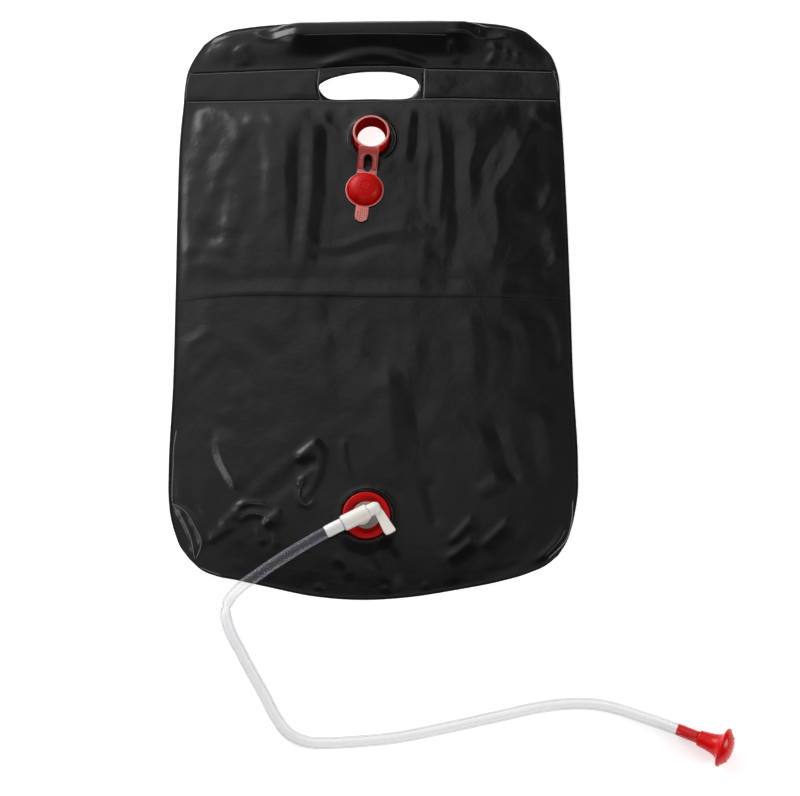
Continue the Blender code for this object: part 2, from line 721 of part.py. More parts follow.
def make_tap():
    """The white tap: a body with its barrel and spigot, and the key that turns in the barrel. +X runs to the lever."""
    stand = add_empty("tap_stand", (OUTLET_X, OUTLET_Y, 0.0), turn=(0.0, 0.0, TAP_TURN))
    back = -BARREL_BACK
    tip = back - SPIGOT_LENGTH
    profile = [
        (0.0, BARREL_FRONT),
        (BARREL_RADIUS, BARREL_FRONT),
        (BARREL_RADIUS, back + BARREL_EDGE),
        (BARREL_RADIUS - BARREL_EDGE, back),
        (SPIGOT_RADIUS, back),
        (SPIGOT_RADIUS, tip + SPIGOT_TIP),
        (SPIGOT_RADIUS + SPIGOT_BARB, tip + SPIGOT_TIP),
        (SPIGOT_RADIUS - SPIGOT_BARB, tip),
        (0.0, tip),
    ]
    body = turned("valve_body", profile, TAP_STEPS, WHITE_PLASTIC)
    lengthwise(body, stand, BARREL_Z)
    foot = [
        (0.0, BASE_TOP),
        (BASE_RADIUS, BASE_TOP),
        (BASE_RADIUS, BASE_FOOT),
        (SEAT_BORE - PLUG_CLEAR, BASE_FOOT),
        (SEAT_BORE - PLUG_CLEAR, PLUG_FOOT),
        (0.0, PLUG_FOOT),
    ]
    base = turned("base_solid", foot, TAP_STEPS, None, stand)
    stem = cylinder("stem_solid", STEM_RADIUS, BASE_TOP - BASE_THICK / 2, BARREL_Z, TAP_STEPS, stand)
    stem.location = (STEM_X, 0.0, 0.0)
    bore = cylinder("barrel_cutter", CORE_RADIUS + GAP, -CORE_BACK - GAP, BARREL_FRONT + OVERRUN, TAP_STEPS)
    lengthwise(bore, stand, BARREL_Z)
    outflow = cylinder("outflow_cutter", SPIGOT_BORE, tip - OVERRUN, -CORE_BACK, TAP_STEPS)
    lengthwise(outflow, stand, BARREL_Z)
    inlet = cylinder("inlet_cutter", INLET_RADIUS, PLUG_FOOT - OVERRUN, BARREL_Z, TAP_STEPS, stand)
    inlet.location = (STEM_X, 0.0, 0.0)
    combine(body, base, "UNION")
    combine(body, stem, "UNION")
    combine(body, bore, "DIFFERENCE")
    combine(body, outflow, "DIFFERENCE")
    combine(body, inlet, "DIFFERENCE")

    axis = add_empty("key_axis", (0.0, 0.0, BARREL_Z), stand)
    outer = [(HUB_RADIUS * r, HUB_START + HUB_LENGTH * z) for r, z in HUB_SHARES]
    outer += [(HUB_RADIUS, HUB_START + HUB_LENGTH / 2), (HUB_RADIUS, HUB_START), (CORE_RADIUS, HUB_START)]
    for place in (OUTER_GROOVE_X, INNER_GROOVE_X):
        high, low = place + GROOVE_WIDTH / 2, place - GROOVE_WIDTH / 2
        outer += [(CORE_RADIUS, high), (CORE_RADIUS - GROOVE_DEPTH, high)]
        outer += [(CORE_RADIUS - GROOVE_DEPTH, low), (CORE_RADIUS, low)]
    outer += [(CORE_RADIUS, -CORE_BACK), (CORE_BORE, -CORE_BACK), (CORE_BORE, -GROOVE_WIDTH), (0.0, 0.0)]
    key = turned("valve_key", outer, TAP_STEPS, WHITE_PLASTIC)
    lengthwise(key, axis, 0.0)
    paddle = [
        (LEVER_X + LEVER_ROOT / 2, 0.0),
        (LEVER_X + LEVER_DRIFT + LEVER_TIP / 2, LEVER_ROUND - LEVER_LENGTH),
        (LEVER_X + LEVER_DRIFT + LEVER_TIP / 2 - LEVER_ROUND, -LEVER_LENGTH),
        (LEVER_X + LEVER_DRIFT - LEVER_TIP / 2 + LEVER_ROUND, -LEVER_LENGTH),
        (LEVER_X + LEVER_DRIFT - LEVER_TIP / 2, LEVER_ROUND - LEVER_LENGTH),
        (LEVER_X - LEVER_ROOT / 2, 0.0),
    ]
    lever = slab("lever_solid", paddle[::-1], -LEVER_THICK / 2, LEVER_THICK / 2, None, axis)
    port = cylinder("port_cutter", CORE_BORE, 0.0, CORE_RADIUS + OVERRUN, TAP_STEPS, axis)
    port.location = (STEM_X, 0.0, 0.0)
    port.rotation_euler = (-math.pi / 2, 0.0, 0.0)
    combine(key, lever, "UNION")
    combine(key, port, "DIFFERENCE")
    for name, place in (("key_seal_outer", OUTER_GROOVE_X), ("key_seal_inner", INNER_GROOVE_X)):
        circle = [(i * math.tau / 8) for i in range(8)]
        section = [(SEAL_RADIUS + SEAL_SECTION * math.sin(a), place + SEAL_SECTION * math.cos(a)) for a in circle]
        seal = turned(name, section, TAP_STEPS, BLACK_RUBBER, closed=True)
        lengthwise(seal, axis, 0.0)


def from_outlet(point):
    """A place in the part, from one that is measured from the outlet's middle on the floor."""
    return Vector((OUTLET_X, OUTLET_Y, 0.0)) + Vector(point)


def hose_points():
    """Even points on a smooth curve through the hose's route."""
    route = [from_outlet(p) for p in HOSE_ROUTE]
    along = [0.0]
    for a, b in zip(route, route[1:]):
        along.append(along[-1] + (b - a).length)
    axes = [[p[k] for p in route] for k in range(3)]
    places = [along[-1] * i / (HOSE_POINTS - 1) for i in range(HOSE_POINTS)]
    return [tuple(smooth_through(along, axis, at) for axis in axes) for at in places], along[-1]


def make_hose():
    """The clear hose, solid in the middle, with its ends opened to go over the two spigots."""
    points, length = hose_points()
    print(f"hose: {length:.3f} m along its middle, {len(points)} points")
    curve = bpy.data.curves.new("hose", "CURVE")
    curve.dimensions = "3D"
    curve.bevel_depth = HOSE_RADIUS
    curve.bevel_resolution = 3
    curve.use_fill_caps = True
    spline = curve.splines.new("POLY")
    spline.points.add(len(points) - 1)
    for point, place in zip(spline.points, points):
        point.co = (*place, 1.0)
    hose = as_mesh("hose", curve, CLEAR_PVC)
    room = SPIGOT_RADIUS + SPIGOT_BARB + SOCKET_ROOM
    for name, end, inward in (("tap_socket", 0, 2), ("rose_socket", -1, -3)):
        start = from_outlet(HOSE_ROUTE[end])
        way = (from_outlet(HOSE_ROUTE[inward]) - start).normalized()
        cutter = cylinder(name, room, -OVERRUN, SPIGOT_LENGTH, TAP_STEPS)
        cutter.location = start
        cutter.rotation_mode = "QUATERNION"
        cutter.rotation_quaternion = way.to_track_quat("Z", "Y")
        combine(hose, cutter, "DIFFERENCE")


def make_rose():
    """The shower rose, lying on its rim: a trumpet with a spigot, and the domed face with its jets."""
    stand = add_empty("rose_stand", from_outlet(ROSE_START), turn=(0.0, math.pi / 2 - ROSE_RISE, ROSE_TURN))
    flare = ROSE_RADIUS - COLLAR_RADIUS
    horn = ROSE_LENGTH - ROSE_COLLAR
    seat_z = ROSE_LENGTH - FACE_SEAT
    inner_radius = ROSE_RADIUS - FACE_LIP
    profile = [(inner_radius, ROSE_LENGTH)]
    profile += [(COLLAR_RADIUS + flare * r, ROSE_COLLAR + horn * s) for r, s in TRUMPET_SHARES]
    profile += [
        (SPIGOT_RADIUS, ROSE_COLLAR),
        (SPIGOT_RADIUS, SPIGOT_TIP),
        (SPIGOT_RADIUS + SPIGOT_BARB, SPIGOT_TIP),
        (SPIGOT_RADIUS - SPIGOT_BARB, 0.0),
        (SPIGOT_BORE, 0.0),
        (SPIGOT_BORE, ROSE_COLLAR),
    ]
    profile += [(COLLAR_RADIUS + flare * r, ROSE_COLLAR + horn * s) for r, s in TRUMPET_BORE_SHARES]
    profile += [(inner_radius - FACE_THICK, seat_z), (inner_radius, seat_z)]
    turned("rose_body", profile, ROUND_STEPS, RED_HARD, stand, closed=True)

    foot = seat_z + GAP
    top = foot + FACE_LIP
    dome = [(FACE_RADIUS * r, top + FACE_RISE * h) for r, h in FACE_SHARES]
    under = [(FACE_RADIUS * r * 0.93, foot + (FACE_RISE - FACE_THICK + FACE_LIP) * h) for r, h in FACE_SHARES]
    rim = [(FACE_RADIUS, top), (FACE_RADIUS, foot)]
    face = turned("rose_face", dome + rim + under[::-1], ROUND_STEPS, RED_HARD, stand)
    mesh = bpy.data.meshes.new("jet_cutter")
    build = bmesh.new()
    for ring in range(JET_RING_COUNT + 1):
        for k in range(max(1, ring * RING_JET_COUNT)):
            angle = math.tau * k / max(1, ring * RING_JET_COUNT)
            place = (ring * JET_PITCH * math.cos(angle), ring * JET_PITCH * math.sin(angle), foot + FACE_RISE / 2)
            bmesh.ops.create_cone(
                build,
                cap_ends=True,
                segments=JET_SIDE_COUNT,
                radius1=JET_RADIUS,
                radius2=JET_RADIUS,
                depth=2 * (FACE_RISE + OVERRUN),
                matrix=Matrix.Translation(place),
            )
    build.to_mesh(mesh)
    build.free()
    jets = add_object("jet_cutter", mesh, None, stand)
    combine(face, jets, "DIFFERENCE")


clear_scene()
PARTS = new_collection("camp_shower_bag")
CUTTERS = new_collection("cutters")
BLACK_FILM = material("black_film", (0.014, 0.014, 0.015), 0.38)
WHITE_FILM = material("white_film", (0.86, 0.86, 0.84), 0.45)
GREY_PLASTIC = material("grey_plastic", (0.55, 0.55, 0.54), 0.50)
RED_SOFT = material("red_soft_pvc", (0.62, 0.012, 0.016), 0.32)
RED_HARD = material("red_hard_plastic", (0.66, 0.008, 0.010), 0.25)
WHITE_PLASTIC = material("white_plastic", (0.86, 0.84, 0.80), 0.35)
BLACK_RUBBER = material("black_rubber", (0.02, 0.02, 0.02), 0.60)
CLEAR_PVC = material("clear_pvc", (0.90, 0.92, 0.94), 0.10, 0.4)
make_bag()
make_handle_tube()
make_filler()
make_outlet()
make_tap()
make_hose()
make_rose()
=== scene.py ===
# %% [markdown]
# # A camp shower bag, dressed for its photograph
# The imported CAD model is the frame: it holds the sizes, the places and the moving joints. This lesson puts the
# looks around it, one piece at a time: a creased black film, glossy red mouldings, a white tap and a clear hose.
# Everything is in metres, and every finished piece keeps its object at the origin with its place in its mesh.

import math

import bmesh
import bpy
import numpy as np
from mathutils import Matrix, Vector, noise
from mathutils.bvhtree import BVHTree


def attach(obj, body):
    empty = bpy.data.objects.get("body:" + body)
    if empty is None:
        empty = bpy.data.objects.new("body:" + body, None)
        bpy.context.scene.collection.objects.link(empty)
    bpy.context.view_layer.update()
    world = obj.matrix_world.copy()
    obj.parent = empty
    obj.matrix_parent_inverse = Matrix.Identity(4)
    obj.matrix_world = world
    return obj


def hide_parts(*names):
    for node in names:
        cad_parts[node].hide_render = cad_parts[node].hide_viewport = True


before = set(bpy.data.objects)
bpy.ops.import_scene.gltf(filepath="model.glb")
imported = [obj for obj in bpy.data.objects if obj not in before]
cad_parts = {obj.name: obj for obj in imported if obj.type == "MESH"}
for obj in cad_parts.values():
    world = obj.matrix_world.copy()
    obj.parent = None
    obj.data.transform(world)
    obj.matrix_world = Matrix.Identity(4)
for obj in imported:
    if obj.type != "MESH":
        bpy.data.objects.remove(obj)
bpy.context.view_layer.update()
MM = 0.001

# %% [markdown]
# ## The camera
# The photograph looks down at the bag from its foot, 18 degrees from straight above. The rings of the filler and the
# outlet show that angle: a circle turns into an ellipse, and the ellipse's shape gives the tilt. A long lens keeps
# the sides of the bag nearly parallel, as they are in the picture.

# %% Camera
LOOK_AT = Vector((0.0265, -0.109, 0.0))
SENSOR = 36.0
FOCAL_PIXELS, IMAGE_PIXELS = 1705.0, 800.0
CAMERA_DISTANCE = 1.676
CAMERA_TILT = math.radians(18.0)
CAMERA_TURN = math.radians(-0.6)

camera_data = bpy.data.cameras.new("camera")
camera_data.sensor_width = SENSOR
camera_data.lens = FOCAL_PIXELS * SENSOR / IMAGE_PIXELS
camera = bpy.data.objects.new("camera", camera_data)
bpy.context.scene.collection.objects.link(camera)
camera.rotation_euler = (CAMERA_TILT, 0.0, CAMERA_TURN)
camera.location = LOOK_AT + camera.rotation_euler.to_matrix() @ Vector((0.0, 0.0, CAMERA_DISTANCE))
bpy.context.scene.camera = camera
print("camera at", [round(v, 3) for v in camera.location])

# %% [markdown]
# ## Helpers
# All the shaders and node groups are built in the same few steps: a node's input is filled by its name, with a value
# or with what another node puts out. Every piece is a bmesh first, and all of them become objects in the same way.

# %% Helpers for nodes and objects
scene = bpy.context.scene


def fill(tree, socket, value):
    """Gives a socket its value, or links another node's output to it."""
    if isinstance(value, bpy.types.NodeSocket):
        tree.links.new(value, socket)
    else:
        socket.default_value = value


def set_inputs(tree, node, **inputs):
    """Fills inputs of a node by name."""
    for name, value in inputs.items():
        fill(tree, node.inputs[name.replace("_", " ")], value)


def add_node(tree, kind, **inputs):
    """A new node with some of its inputs filled."""
    node = tree.nodes.new(kind)
    set_inputs(tree, node, **inputs)
    return node


def combine(tree, operation, first, second):
    """What a Math node makes of two values."""
    node = tree.nodes.new("ShaderNodeMath")
    node.operation = operation
    fill(tree, node.inputs[0], first)
    fill(tree, node.inputs[1], second)
    return node.outputs[0]


def joined_rays(tree, kinds):
    """1 for the kinds of ray that are named, 0 for all others."""
    path = tree.nodes.new("ShaderNodeLightPath")
    total = path.outputs[kinds[0]]
    for kind in kinds[1:]:
        total = combine(tree, "MAXIMUM", total, path.outputs[kind])
    return total


def smooth_range(tree, value, start, end, low, high):
    """A smooth step of a value, from low at start to high at end."""
    step = add_node(tree, "ShaderNodeMapRange", Value=value, From_Min=start, From_Max=end, To_Min=low, To_Max=high)
    step.interpolation_type = "SMOOTHSTEP"
    return step.outputs["Result"]


def new_material(name, **inputs):
    """A material, its node tree and its Principled shader, with some inputs of the shader filled."""
    made = bpy.data.materials.new(name)
    made.use_nodes = True
    shader = made.node_tree.nodes["Principled BSDF"]
    set_inputs(made.node_tree, shader, **inputs)
    return made, made.node_tree, shader


def new_group(name, kind, inputs, outputs):
    """A node group with the named sockets, the outputs of its input node, and its output node."""
    group = bpy.data.node_groups.new(name, kind)
    for label, form, default in inputs:
        socket = group.interface.new_socket(label, in_out="INPUT", socket_type="NodeSocket" + form)
        if default is not None:
            socket.default_value = default
    for label, form in outputs:
        group.interface.new_socket(label, in_out="OUTPUT", socket_type="NodeSocket" + form)
    return group, group.nodes.new("NodeGroupInput").outputs, group.nodes.new("NodeGroupOutput")


def object_from(build, name, finishes):
    """Turns a bmesh into an object with smooth shading."""
    mesh = bpy.data.meshes.new(name)
    build.to_mesh(mesh)
    build.free()
    for face in mesh.polygons:
        face.use_smooth = True
    for finish in finishes:
        mesh.materials.append(finish)
    made = bpy.data.objects.new(name, mesh)
    scene.collection.objects.link(made)
    return made


print("helpers are ready for", scene.name)

# %% [markdown]
# ## Floor and light
# Black film shows little but what it mirrors, so the room is the picture here. Behind the bag it is pale on the left
# and dim on the right, as beside a window, and towards the viewer it gets dark: a facet of the film is light or dark
# by the way it leans. Two small lamps at the left glint on steep creases, and three large ones, at the window, on the
# right and in front, light the mouldings. The camera itself sees white.

# %% World
# each step of brightness: where it starts and ends, looking across or along the bag, and its two values
BEHIND = (0.0, 0.12, 0.74, 0.11)
IN_FRONT = (0.08, 0.24, 0.40, 0.25)
BEHIND_FROM = (0.28, 0.42, 0.0, 1.0)
DARK_TOWARDS_VIEWER = (-0.25, 0.16, 0.06, 1.0)

scene.view_settings.view_transform = "Standard"
world = bpy.data.worlds.new("studio")
scene.world = world
world.use_nodes = True
tree = world.node_tree
looked = add_node(tree, "ShaderNodeTexCoord").outputs["Generated"]
parts = add_node(tree, "ShaderNodeSeparateXYZ", Vector=looked)
across, along_y = parts.outputs["X"], parts.outputs["Y"]
room = add_node(
    tree, "ShaderNodeMapRange", Value=smooth_range(tree, along_y, *BEHIND_FROM),
    To_Min=smooth_range(tree, across, *IN_FRONT), To_Max=smooth_range(tree, across, *BEHIND),
)
mirrored = combine(tree, "MULTIPLY", room.outputs["Result"], smooth_range(tree, along_y, *DARK_TOWARDS_VIEWER))
level = add_node(
    tree, "ShaderNodeMapRange", Value=joined_rays(tree, ["Is Camera Ray"]), To_Min=mirrored, To_Max=1.0
)
set_inputs(tree, tree.nodes["Background"], Color=(1.0, 1.0, 1.0, 1.0), Strength=level.outputs["Result"])
print("world:", len(tree.nodes), "nodes")

# %% Floor
FLOOR_HALF = 4.0
FLOOR_GLOW = 0.45

white_floor, tree, shader = new_material(
    "white_floor", Base_Color=(0.9, 0.9, 0.9, 1.0), Roughness=0.9, Specular_IOR_Level=0.1,
    Emission_Color=(1.0, 1.0, 1.0, 1.0),
)
bright_to = joined_rays(tree, ["Is Camera Ray", "Is Glossy Ray", "Is Transmission Ray"])
set_inputs(tree, shader, Emission_Strength=combine(tree, "MULTIPLY", bright_to, FLOOR_GLOW))
build = bmesh.new()
bmesh.ops.create_grid(build, x_segments=1, y_segments=1, size=FLOOR_HALF)
floor = object_from(build, "floor", (white_floor,))
print("floor:", 2 * FLOOR_HALF, "m wide")

# %% Lamps
# name, place, aimed at, side of the square, brightness
LAMPS = (
    ("key_lamp", (-1.05, 1.12, 1.30), (0.0, 0.0, 0.0), 0.40, 2.6),
    ("left_lamp", (-1.16, -0.02, 1.47), (0.0, 0.0, 0.0), 0.40, 3.5),
    ("window_lamp", (-1.45, 1.55, 0.88), (0.0, 0.0, 0.0), 1.60, 5.6),
    ("right_lamp", (1.90, -0.60, 0.80), (0.3, -0.4, 0.0), 0.90, 7.0),
    ("front_lamp", (-0.30, -2.00, 1.30), (0.0, -0.1, 0.0), 1.60, 1.9),
)
for name, place, towards, size, radiance in LAMPS:
    data = bpy.data.lights.new(name, "AREA")
    data.size = size
    data.energy = radiance * math.pi * size * size
    lamp = bpy.data.objects.new(name, data)
    scene.collection.objects.link(lamp)
    lamp.location = place
    lamp.rotation_euler = (Vector(place) - Vector(towards)).to_track_quat("Z", "Y").to_euler()
print("lamps:", [lamp[0] for lamp in LAMPS])

# %% [markdown]
# ## Finishes
# Moulded and rolled plastic is never perfectly even. A shared node group gives each material a fine unevenness: a
# height for the bump, and a slow wandering value that shifts the roughness from place to place. Each material sets
# its own grain size, because film, soft PVC and hard plastic differ in that.


# %% The shared grain group
def make_grain_group():
    """Fine height and slow variation from two noises of Object coordinates."""
    group, given, end = new_group(
        "plastic_grain", "ShaderNodeTree",
        (
            ("Vector", "Vector", None), ("Grain Scale", "Float", 900.0), ("Drift Scale", "Float", 40.0),
            ("Low", "Float", 0.3), ("High", "Float", 0.4),
        ),
        (("Height", "Float"), ("Roughness", "Float")),
    )
    place = given["Vector"]
    fine = add_node(group, "ShaderNodeTexNoise", Vector=place, Scale=given["Grain Scale"], Detail=3.0, Roughness=0.6)
    slow = add_node(group, "ShaderNodeTexNoise", Vector=place, Scale=given["Drift Scale"], Detail=2.0, Roughness=0.5)
    spread = add_node(
        group, "ShaderNodeMapRange", Value=slow.outputs["Fac"], From_Min=0.3, From_Max=0.7,
        To_Min=given["Low"], To_Max=given["High"],
    )
    set_inputs(group, end, Height=fine.outputs["Fac"], Roughness=spread.outputs["Result"])
    return group


GRAIN = make_grain_group()
print("group sockets:", [s.name for s in GRAIN.interface.items_tree])

# %% One way to make every plastic
CRUMPLE_DEPTH = 0.0002
MOTTLE_SHARE = 0.7


def plastic(name, colour, low, high, surface, second=None, shine=0.5, painted_glow=0.0, crumple=0.0):
    """A Principled plastic whose roughness wanders between low and high, with a fine bump.

    The surface is the grain's scale, the drift's scale, and the strength and depth of the bump. A painted glow, if
    given, is an emission in the plastic's own colour: painted light that no lamp gives.
    """
    grain, drift, bump, depth = surface
    paint = (*colour, 1.0)
    made, tree, shader = new_material(
        name, Base_Color=paint, Specular_IOR_Level=shine, Emission_Color=paint, Emission_Strength=painted_glow
    )
    place = add_node(tree, "ShaderNodeTexCoord").outputs["Object"]
    grained = tree.nodes.new("ShaderNodeGroup")
    grained.node_tree = GRAIN
    set_inputs(tree, grained, Vector=place, Grain_Scale=grain, Drift_Scale=drift, Low=low, High=high)
    lift = add_node(tree, "ShaderNodeBump", Strength=bump, Distance=depth, Height=grained.outputs["Height"])
    set_inputs(tree, shader, Roughness=grained.outputs["Roughness"], Normal=lift.outputs["Normal"])
    if crumple:
        dents = add_node(tree, "ShaderNodeTexNoise", Vector=place, Scale=crumple, Detail=2.0, Roughness=0.5)
        press = add_node(tree, "ShaderNodeBump", Strength=1.0, Distance=CRUMPLE_DEPTH, Height=dents.outputs["Fac"])
        set_inputs(tree, lift, Normal=press.outputs["Normal"])
    if second is not None:
        mottle = add_node(tree, "ShaderNodeTexNoise", Vector=place, Scale=drift * MOTTLE_SHARE, Detail=2.0)
        blend = tree.nodes.new("ShaderNodeMix")
        blend.data_type = "RGBA"
        set_inputs(tree, blend, Factor=mottle.outputs["Fac"], A=paint, B=(*second, 1.0))
        set_inputs(tree, shader, Base_Color=blend.outputs["Result"])
    return made


# %% The materials
FILM = (700.0, 25.0, 0.10, 0.0003)
CRUMPLED_FILM = (500.0, 25.0, 0.16, 0.0003)
SOFT = (1200.0, 60.0, 0.05, 0.0002)
THIN = (1200.0, 60.0, 0.08, 0.0002)
GLOSSY = (1500.0, 60.0, 0.03, 0.0001)
HARD = (1500.0, 60.0, 0.04, 0.0001)
FOOT_GRAIN = (900.0, 60.0, 0.06, 0.0002)
TUBING = (1200.0, 50.0, 0.05, 0.0002)
RUBBER = (1500.0, 80.0, 0.08, 0.0002)
CLEAR = (400.0, 60.0, 0.05, 0.0002)

black_film = plastic("black_film", (0.0032, 0.0033, 0.0029), 0.18, 0.26, CRUMPLED_FILM, crumple=130.0)
film_edge = plastic("film_edge", (0.0025, 0.0025, 0.0025), 0.45, 0.55, FILM, shine=0.15)
# painted highlight: a light grey for the hairline of light along the weld beads and a few sharp folds
bead_painted_highlight = plastic("bead_painted_highlight", (0.15, 0.15, 0.155), 0.30, 0.40, FILM)
# partly real, partly painted: creased PVC whitens a little, and this grey also paints the highlight on the crests
crease_whitening_and_highlight = plastic("crease_whitening_and_highlight", (0.045, 0.045, 0.047), 0.30, 0.40, FILM)
# painted shade: a matt black strip laid where a groove beside a weld or crease is dark
groove_painted_shade = plastic("groove_painted_shade", (0.0015, 0.0015, 0.0015), 0.70, 0.80, FILM, shine=0.05)
# painted light: the white film glows a little, so that it looks bright where it is seen down the filler's mouth
white_film = plastic("white_film", (0.90, 0.90, 0.89), 0.35, 0.45, FILM, painted_glow=0.95)
red_soft = plastic("red_soft_pvc", (0.60, 0.005, 0.004), 0.34, 0.44, SOFT, (0.48, 0.003, 0.003), shine=0.16)
red_thin = plastic("red_thin_pvc", (0.42, 0.055, 0.046), 0.22, 0.34, THIN, (0.44, 0.06, 0.05))
# painted highlight: a pale pink for the light on the filler's rim, the flange's edge, the tab and the strap by the
# plug
red_painted_highlight = plastic("red_pvc_painted_highlight", (0.78, 0.28, 0.25), 0.22, 0.34, THIN, (0.66, 0.19, 0.17))
# painted shade: a dark matt red for the shaded inside of the collar and the lower foot of the dome
red_painted_shade = plastic("red_pvc_painted_shade", (0.17, 0.003, 0.003), 0.60, 0.70, SOFT, shine=0.0)
red_hard = plastic("red_hard_plastic", (0.72, 0.004, 0.004), 0.16, 0.24, GLOSSY, (0.64, 0.003, 0.003), shine=0.24)
# painted shade: the tap's white foot is painted a brownish grey, where the barrel above it shades it
white_in_painted_shade = plastic("white_plastic_painted_shade", (0.34, 0.29, 0.26), 0.35, 0.50, FOOT_GRAIN, (0.26, 0.22, 0.20))
white_plastic = plastic("white_plastic", (0.90, 0.88, 0.82), 0.30, 0.42, HARD, (0.87, 0.84, 0.77))
grey_plastic = plastic("grey_plastic", (0.50, 0.50, 0.49), 0.40, 0.55, TUBING)
# also used for painted shade: small black discs stand for the dark inside the rose's jet holes
black_rubber = plastic("black_rubber", (0.015, 0.015, 0.015), 0.55, 0.70, RUBBER)
print("materials:", len(bpy.data.materials))

# %% Finishes for the CAD nodes that stay
for node, finish in (
    ("handle_tube", grey_plastic),
    ("base_washer", black_rubber),
    ("key_seal_outer", black_rubber),
    ("key_seal_inner", black_rubber),
):
    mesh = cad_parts[node].data
    mesh.materials.clear()
    mesh.materials.append(finish)
print("CAD nodes finished")

# %% [markdown]
# ## The clear hose
# A clear PVC hose, 11 mm outside and 8.5 mm inside, is pushed over the white spigot of the tap and the red spigot of
# the rose. Its plastic can be seen through where it is looked at squarely, and looks thicker where it turns away. Two
# such walls, one in the other, give pale edges and a clear middle. So the hose is swept as a shell: an outer wall, an
# inner wall and two end rings.

# %% The hose's route
HOSE_RADIUS = 5.5 * MM
HOSE_BORE = 4.25 * MM
HOSE_ROUTE = [
    Vector(p) * MM
    for p in (
        (-29.5, -241.0, 22.0), (-37.2, -244.8, 22.0), (-44.9, -248.8, 21.9),
        (-64.8, -259.5, 19.6), (-88.9, -273.0, 13.9), (-110.7, -286.8, 9.2),
        (-127.0, -298.5, 6.8), (-136.6, -309.2, 5.9), (-140.0, -320.0, 5.6),
        (-137.5, -333.5, 5.6), (-123.0, -362.5, 5.6), (-102.6, -399.0, 5.6),
        (-90.5, -421.0, 5.6), (-80.0, -434.0, 5.6), (-64.0, -441.8, 5.6),
        (-41.3, -443.5, 5.6), (-23.0, -442.8, 5.6), (23.0, -438.8, 5.6),
        (69.2, -430.1, 5.6), (115.6, -420.6, 5.6), (152.8, -413.0, 5.6),
        (184.4, -409.9, 5.6), (208.4, -411.4, 5.6), (227.5, -416.0, 5.6),
        (244.9, -422.2, 5.6), (261.2, -427.8, 5.6), (272.0, -431.8, 5.8),
        (282.2, -436.1, 7.2), (289.3, -439.5, 9.3), (296.5, -442.8, 11.5),
    )
]
HOSE_POINTS = 380


def ease(t):
    """Rises smoothly from 0 to 1."""
    t = np.clip(t, 0.0, 1.0)
    return t * t * (3.0 - 2.0 * t)


def smooth_read(table, column, at):
    """Reads a smooth curve through one column of a table whose first column rises."""
    xs, ys = table[:, 0], table[:, column]
    slopes = np.gradient(ys, xs)
    i = np.clip(np.searchsorted(xs, at) - 1, 0, len(xs) - 2)
    span = xs[i + 1] - xs[i]
    t = (at - xs[i]) / span
    return (
        ys[i] * (2 * t**3 - 3 * t**2 + 1)
        + ys[i + 1] * (3 * t**2 - 2 * t**3)
        + slopes[i] * span * (t**3 - 2 * t**2 + t)
        + slopes[i + 1] * span * (t**3 - t**2)
    )


def along(points):
    """The distance of each point from the first, along the line."""
    steps = [0.0]
    for a, b in zip(points, points[1:]):
        steps.append(steps[-1] + (b - a).length)
    return np.array(steps)


def smooth_path(points, count):
    """Even points on a smooth curve through the given ones."""
    table = np.column_stack([along(points), np.array(points)])
    at = np.linspace(0.0, table[-1, 0], count)
    return [Vector(p) for p in zip(*(smooth_read(table, k, at) for k in (1, 2, 3)))]


hose_path = smooth_path(HOSE_ROUTE, HOSE_POINTS)
distances = along(hose_path)
hose_length = float(distances[-1])
print(f"hose: {hose_length:.3f} m")

# %% [markdown]
# Sweeping a ring along a path needs a frame that doesn't spin. Each ring takes the last ring's side direction and
# only tips it to stay square to the path. The radius may change along the way, which is how the ends swell where
# the hose is stretched over its spigots.


# %% Sweep a shell along a path
def sweep(path, radii, sides):
    """Rings of points round a path, with one radius for each point of it."""
    side = Vector((0.0, 0.0, 1.0))
    angles = [math.tau * k / sides for k in range(sides)]
    rings = []
    for i, point in enumerate(path):
        ahead = (path[min(i + 1, len(path) - 1)] - path[max(i - 1, 0)]).normalized()
        side = (side - ahead * side.dot(ahead)).normalized()
        other = ahead.cross(side)
        rings.append([point + (side * math.cos(a) + other * math.sin(a)) * radii[i] for a in angles])
    return rings


def join_rings(build, rings, flip=False):
    """Adds rings of points as bands of quads and returns their vertices."""
    made = [[build.verts.new(p) for p in ring] for ring in rings]
    for a, b in zip(made, made[1:]):
        for k in range(len(a)):
            n = (k + 1) % len(a)
            quad = (a[k], a[n], b[n], b[k])
            build.faces.new(quad[::-1] if flip else quad)
    return made


def dress(made, body, slot, *nodes):
    """Lets a finished piece ride on its body, in place of the CAD nodes that are named."""
    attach(made, body)
    if nodes:
        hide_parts(*nodes)


# %% Clear PVC
def make_clear_pvc():
    """Clear soft plastic: little to see when looked at squarely, thicker to look at where it turns away."""
    made = plastic("clear_pvc", (0.36, 0.37, 0.42), 0.08, 0.14, CLEAR)
    tree = made.node_tree
    turned = add_node(tree, "ShaderNodeLayerWeight", Blend=0.5).outputs["Facing"]
    thick = add_node(
        tree, "ShaderNodeMapRange", Value=turned, From_Min=0.30, From_Max=0.95, To_Min=0.055, To_Max=0.62
    )
    set_inputs(tree, tree.nodes["Principled BSDF"], Alpha=thick.outputs["Result"])
    return made


clear_pvc = make_clear_pvc()
over_spigot = plastic("pvc_over_white", (0.84, 0.84, 0.82), 0.15, 0.22, CLEAR)
over_stem = plastic("pvc_over_red", (0.60, 0.015, 0.012), 0.12, 0.20, CLEAR)
print("made", clear_pvc.name, over_spigot.name, over_stem.name)

# %% Build the hose
HOSE_SIDES = 28
SPIGOT_STRETCH = 16.5 * MM
ROSE_STRETCH = 20.0 * MM
END_SWELL, ROSE_SWELL = 0.5 * MM, 0.1 * MM
KINK = Vector((-144.0, -315.0)) * MM
PINCH, PINCH_LENGTH = 0.28, 2.8 * MM
kink_at = distances[min(range(HOSE_POINTS), key=lambda i: (hose_path[i].xy - KINK).length)]


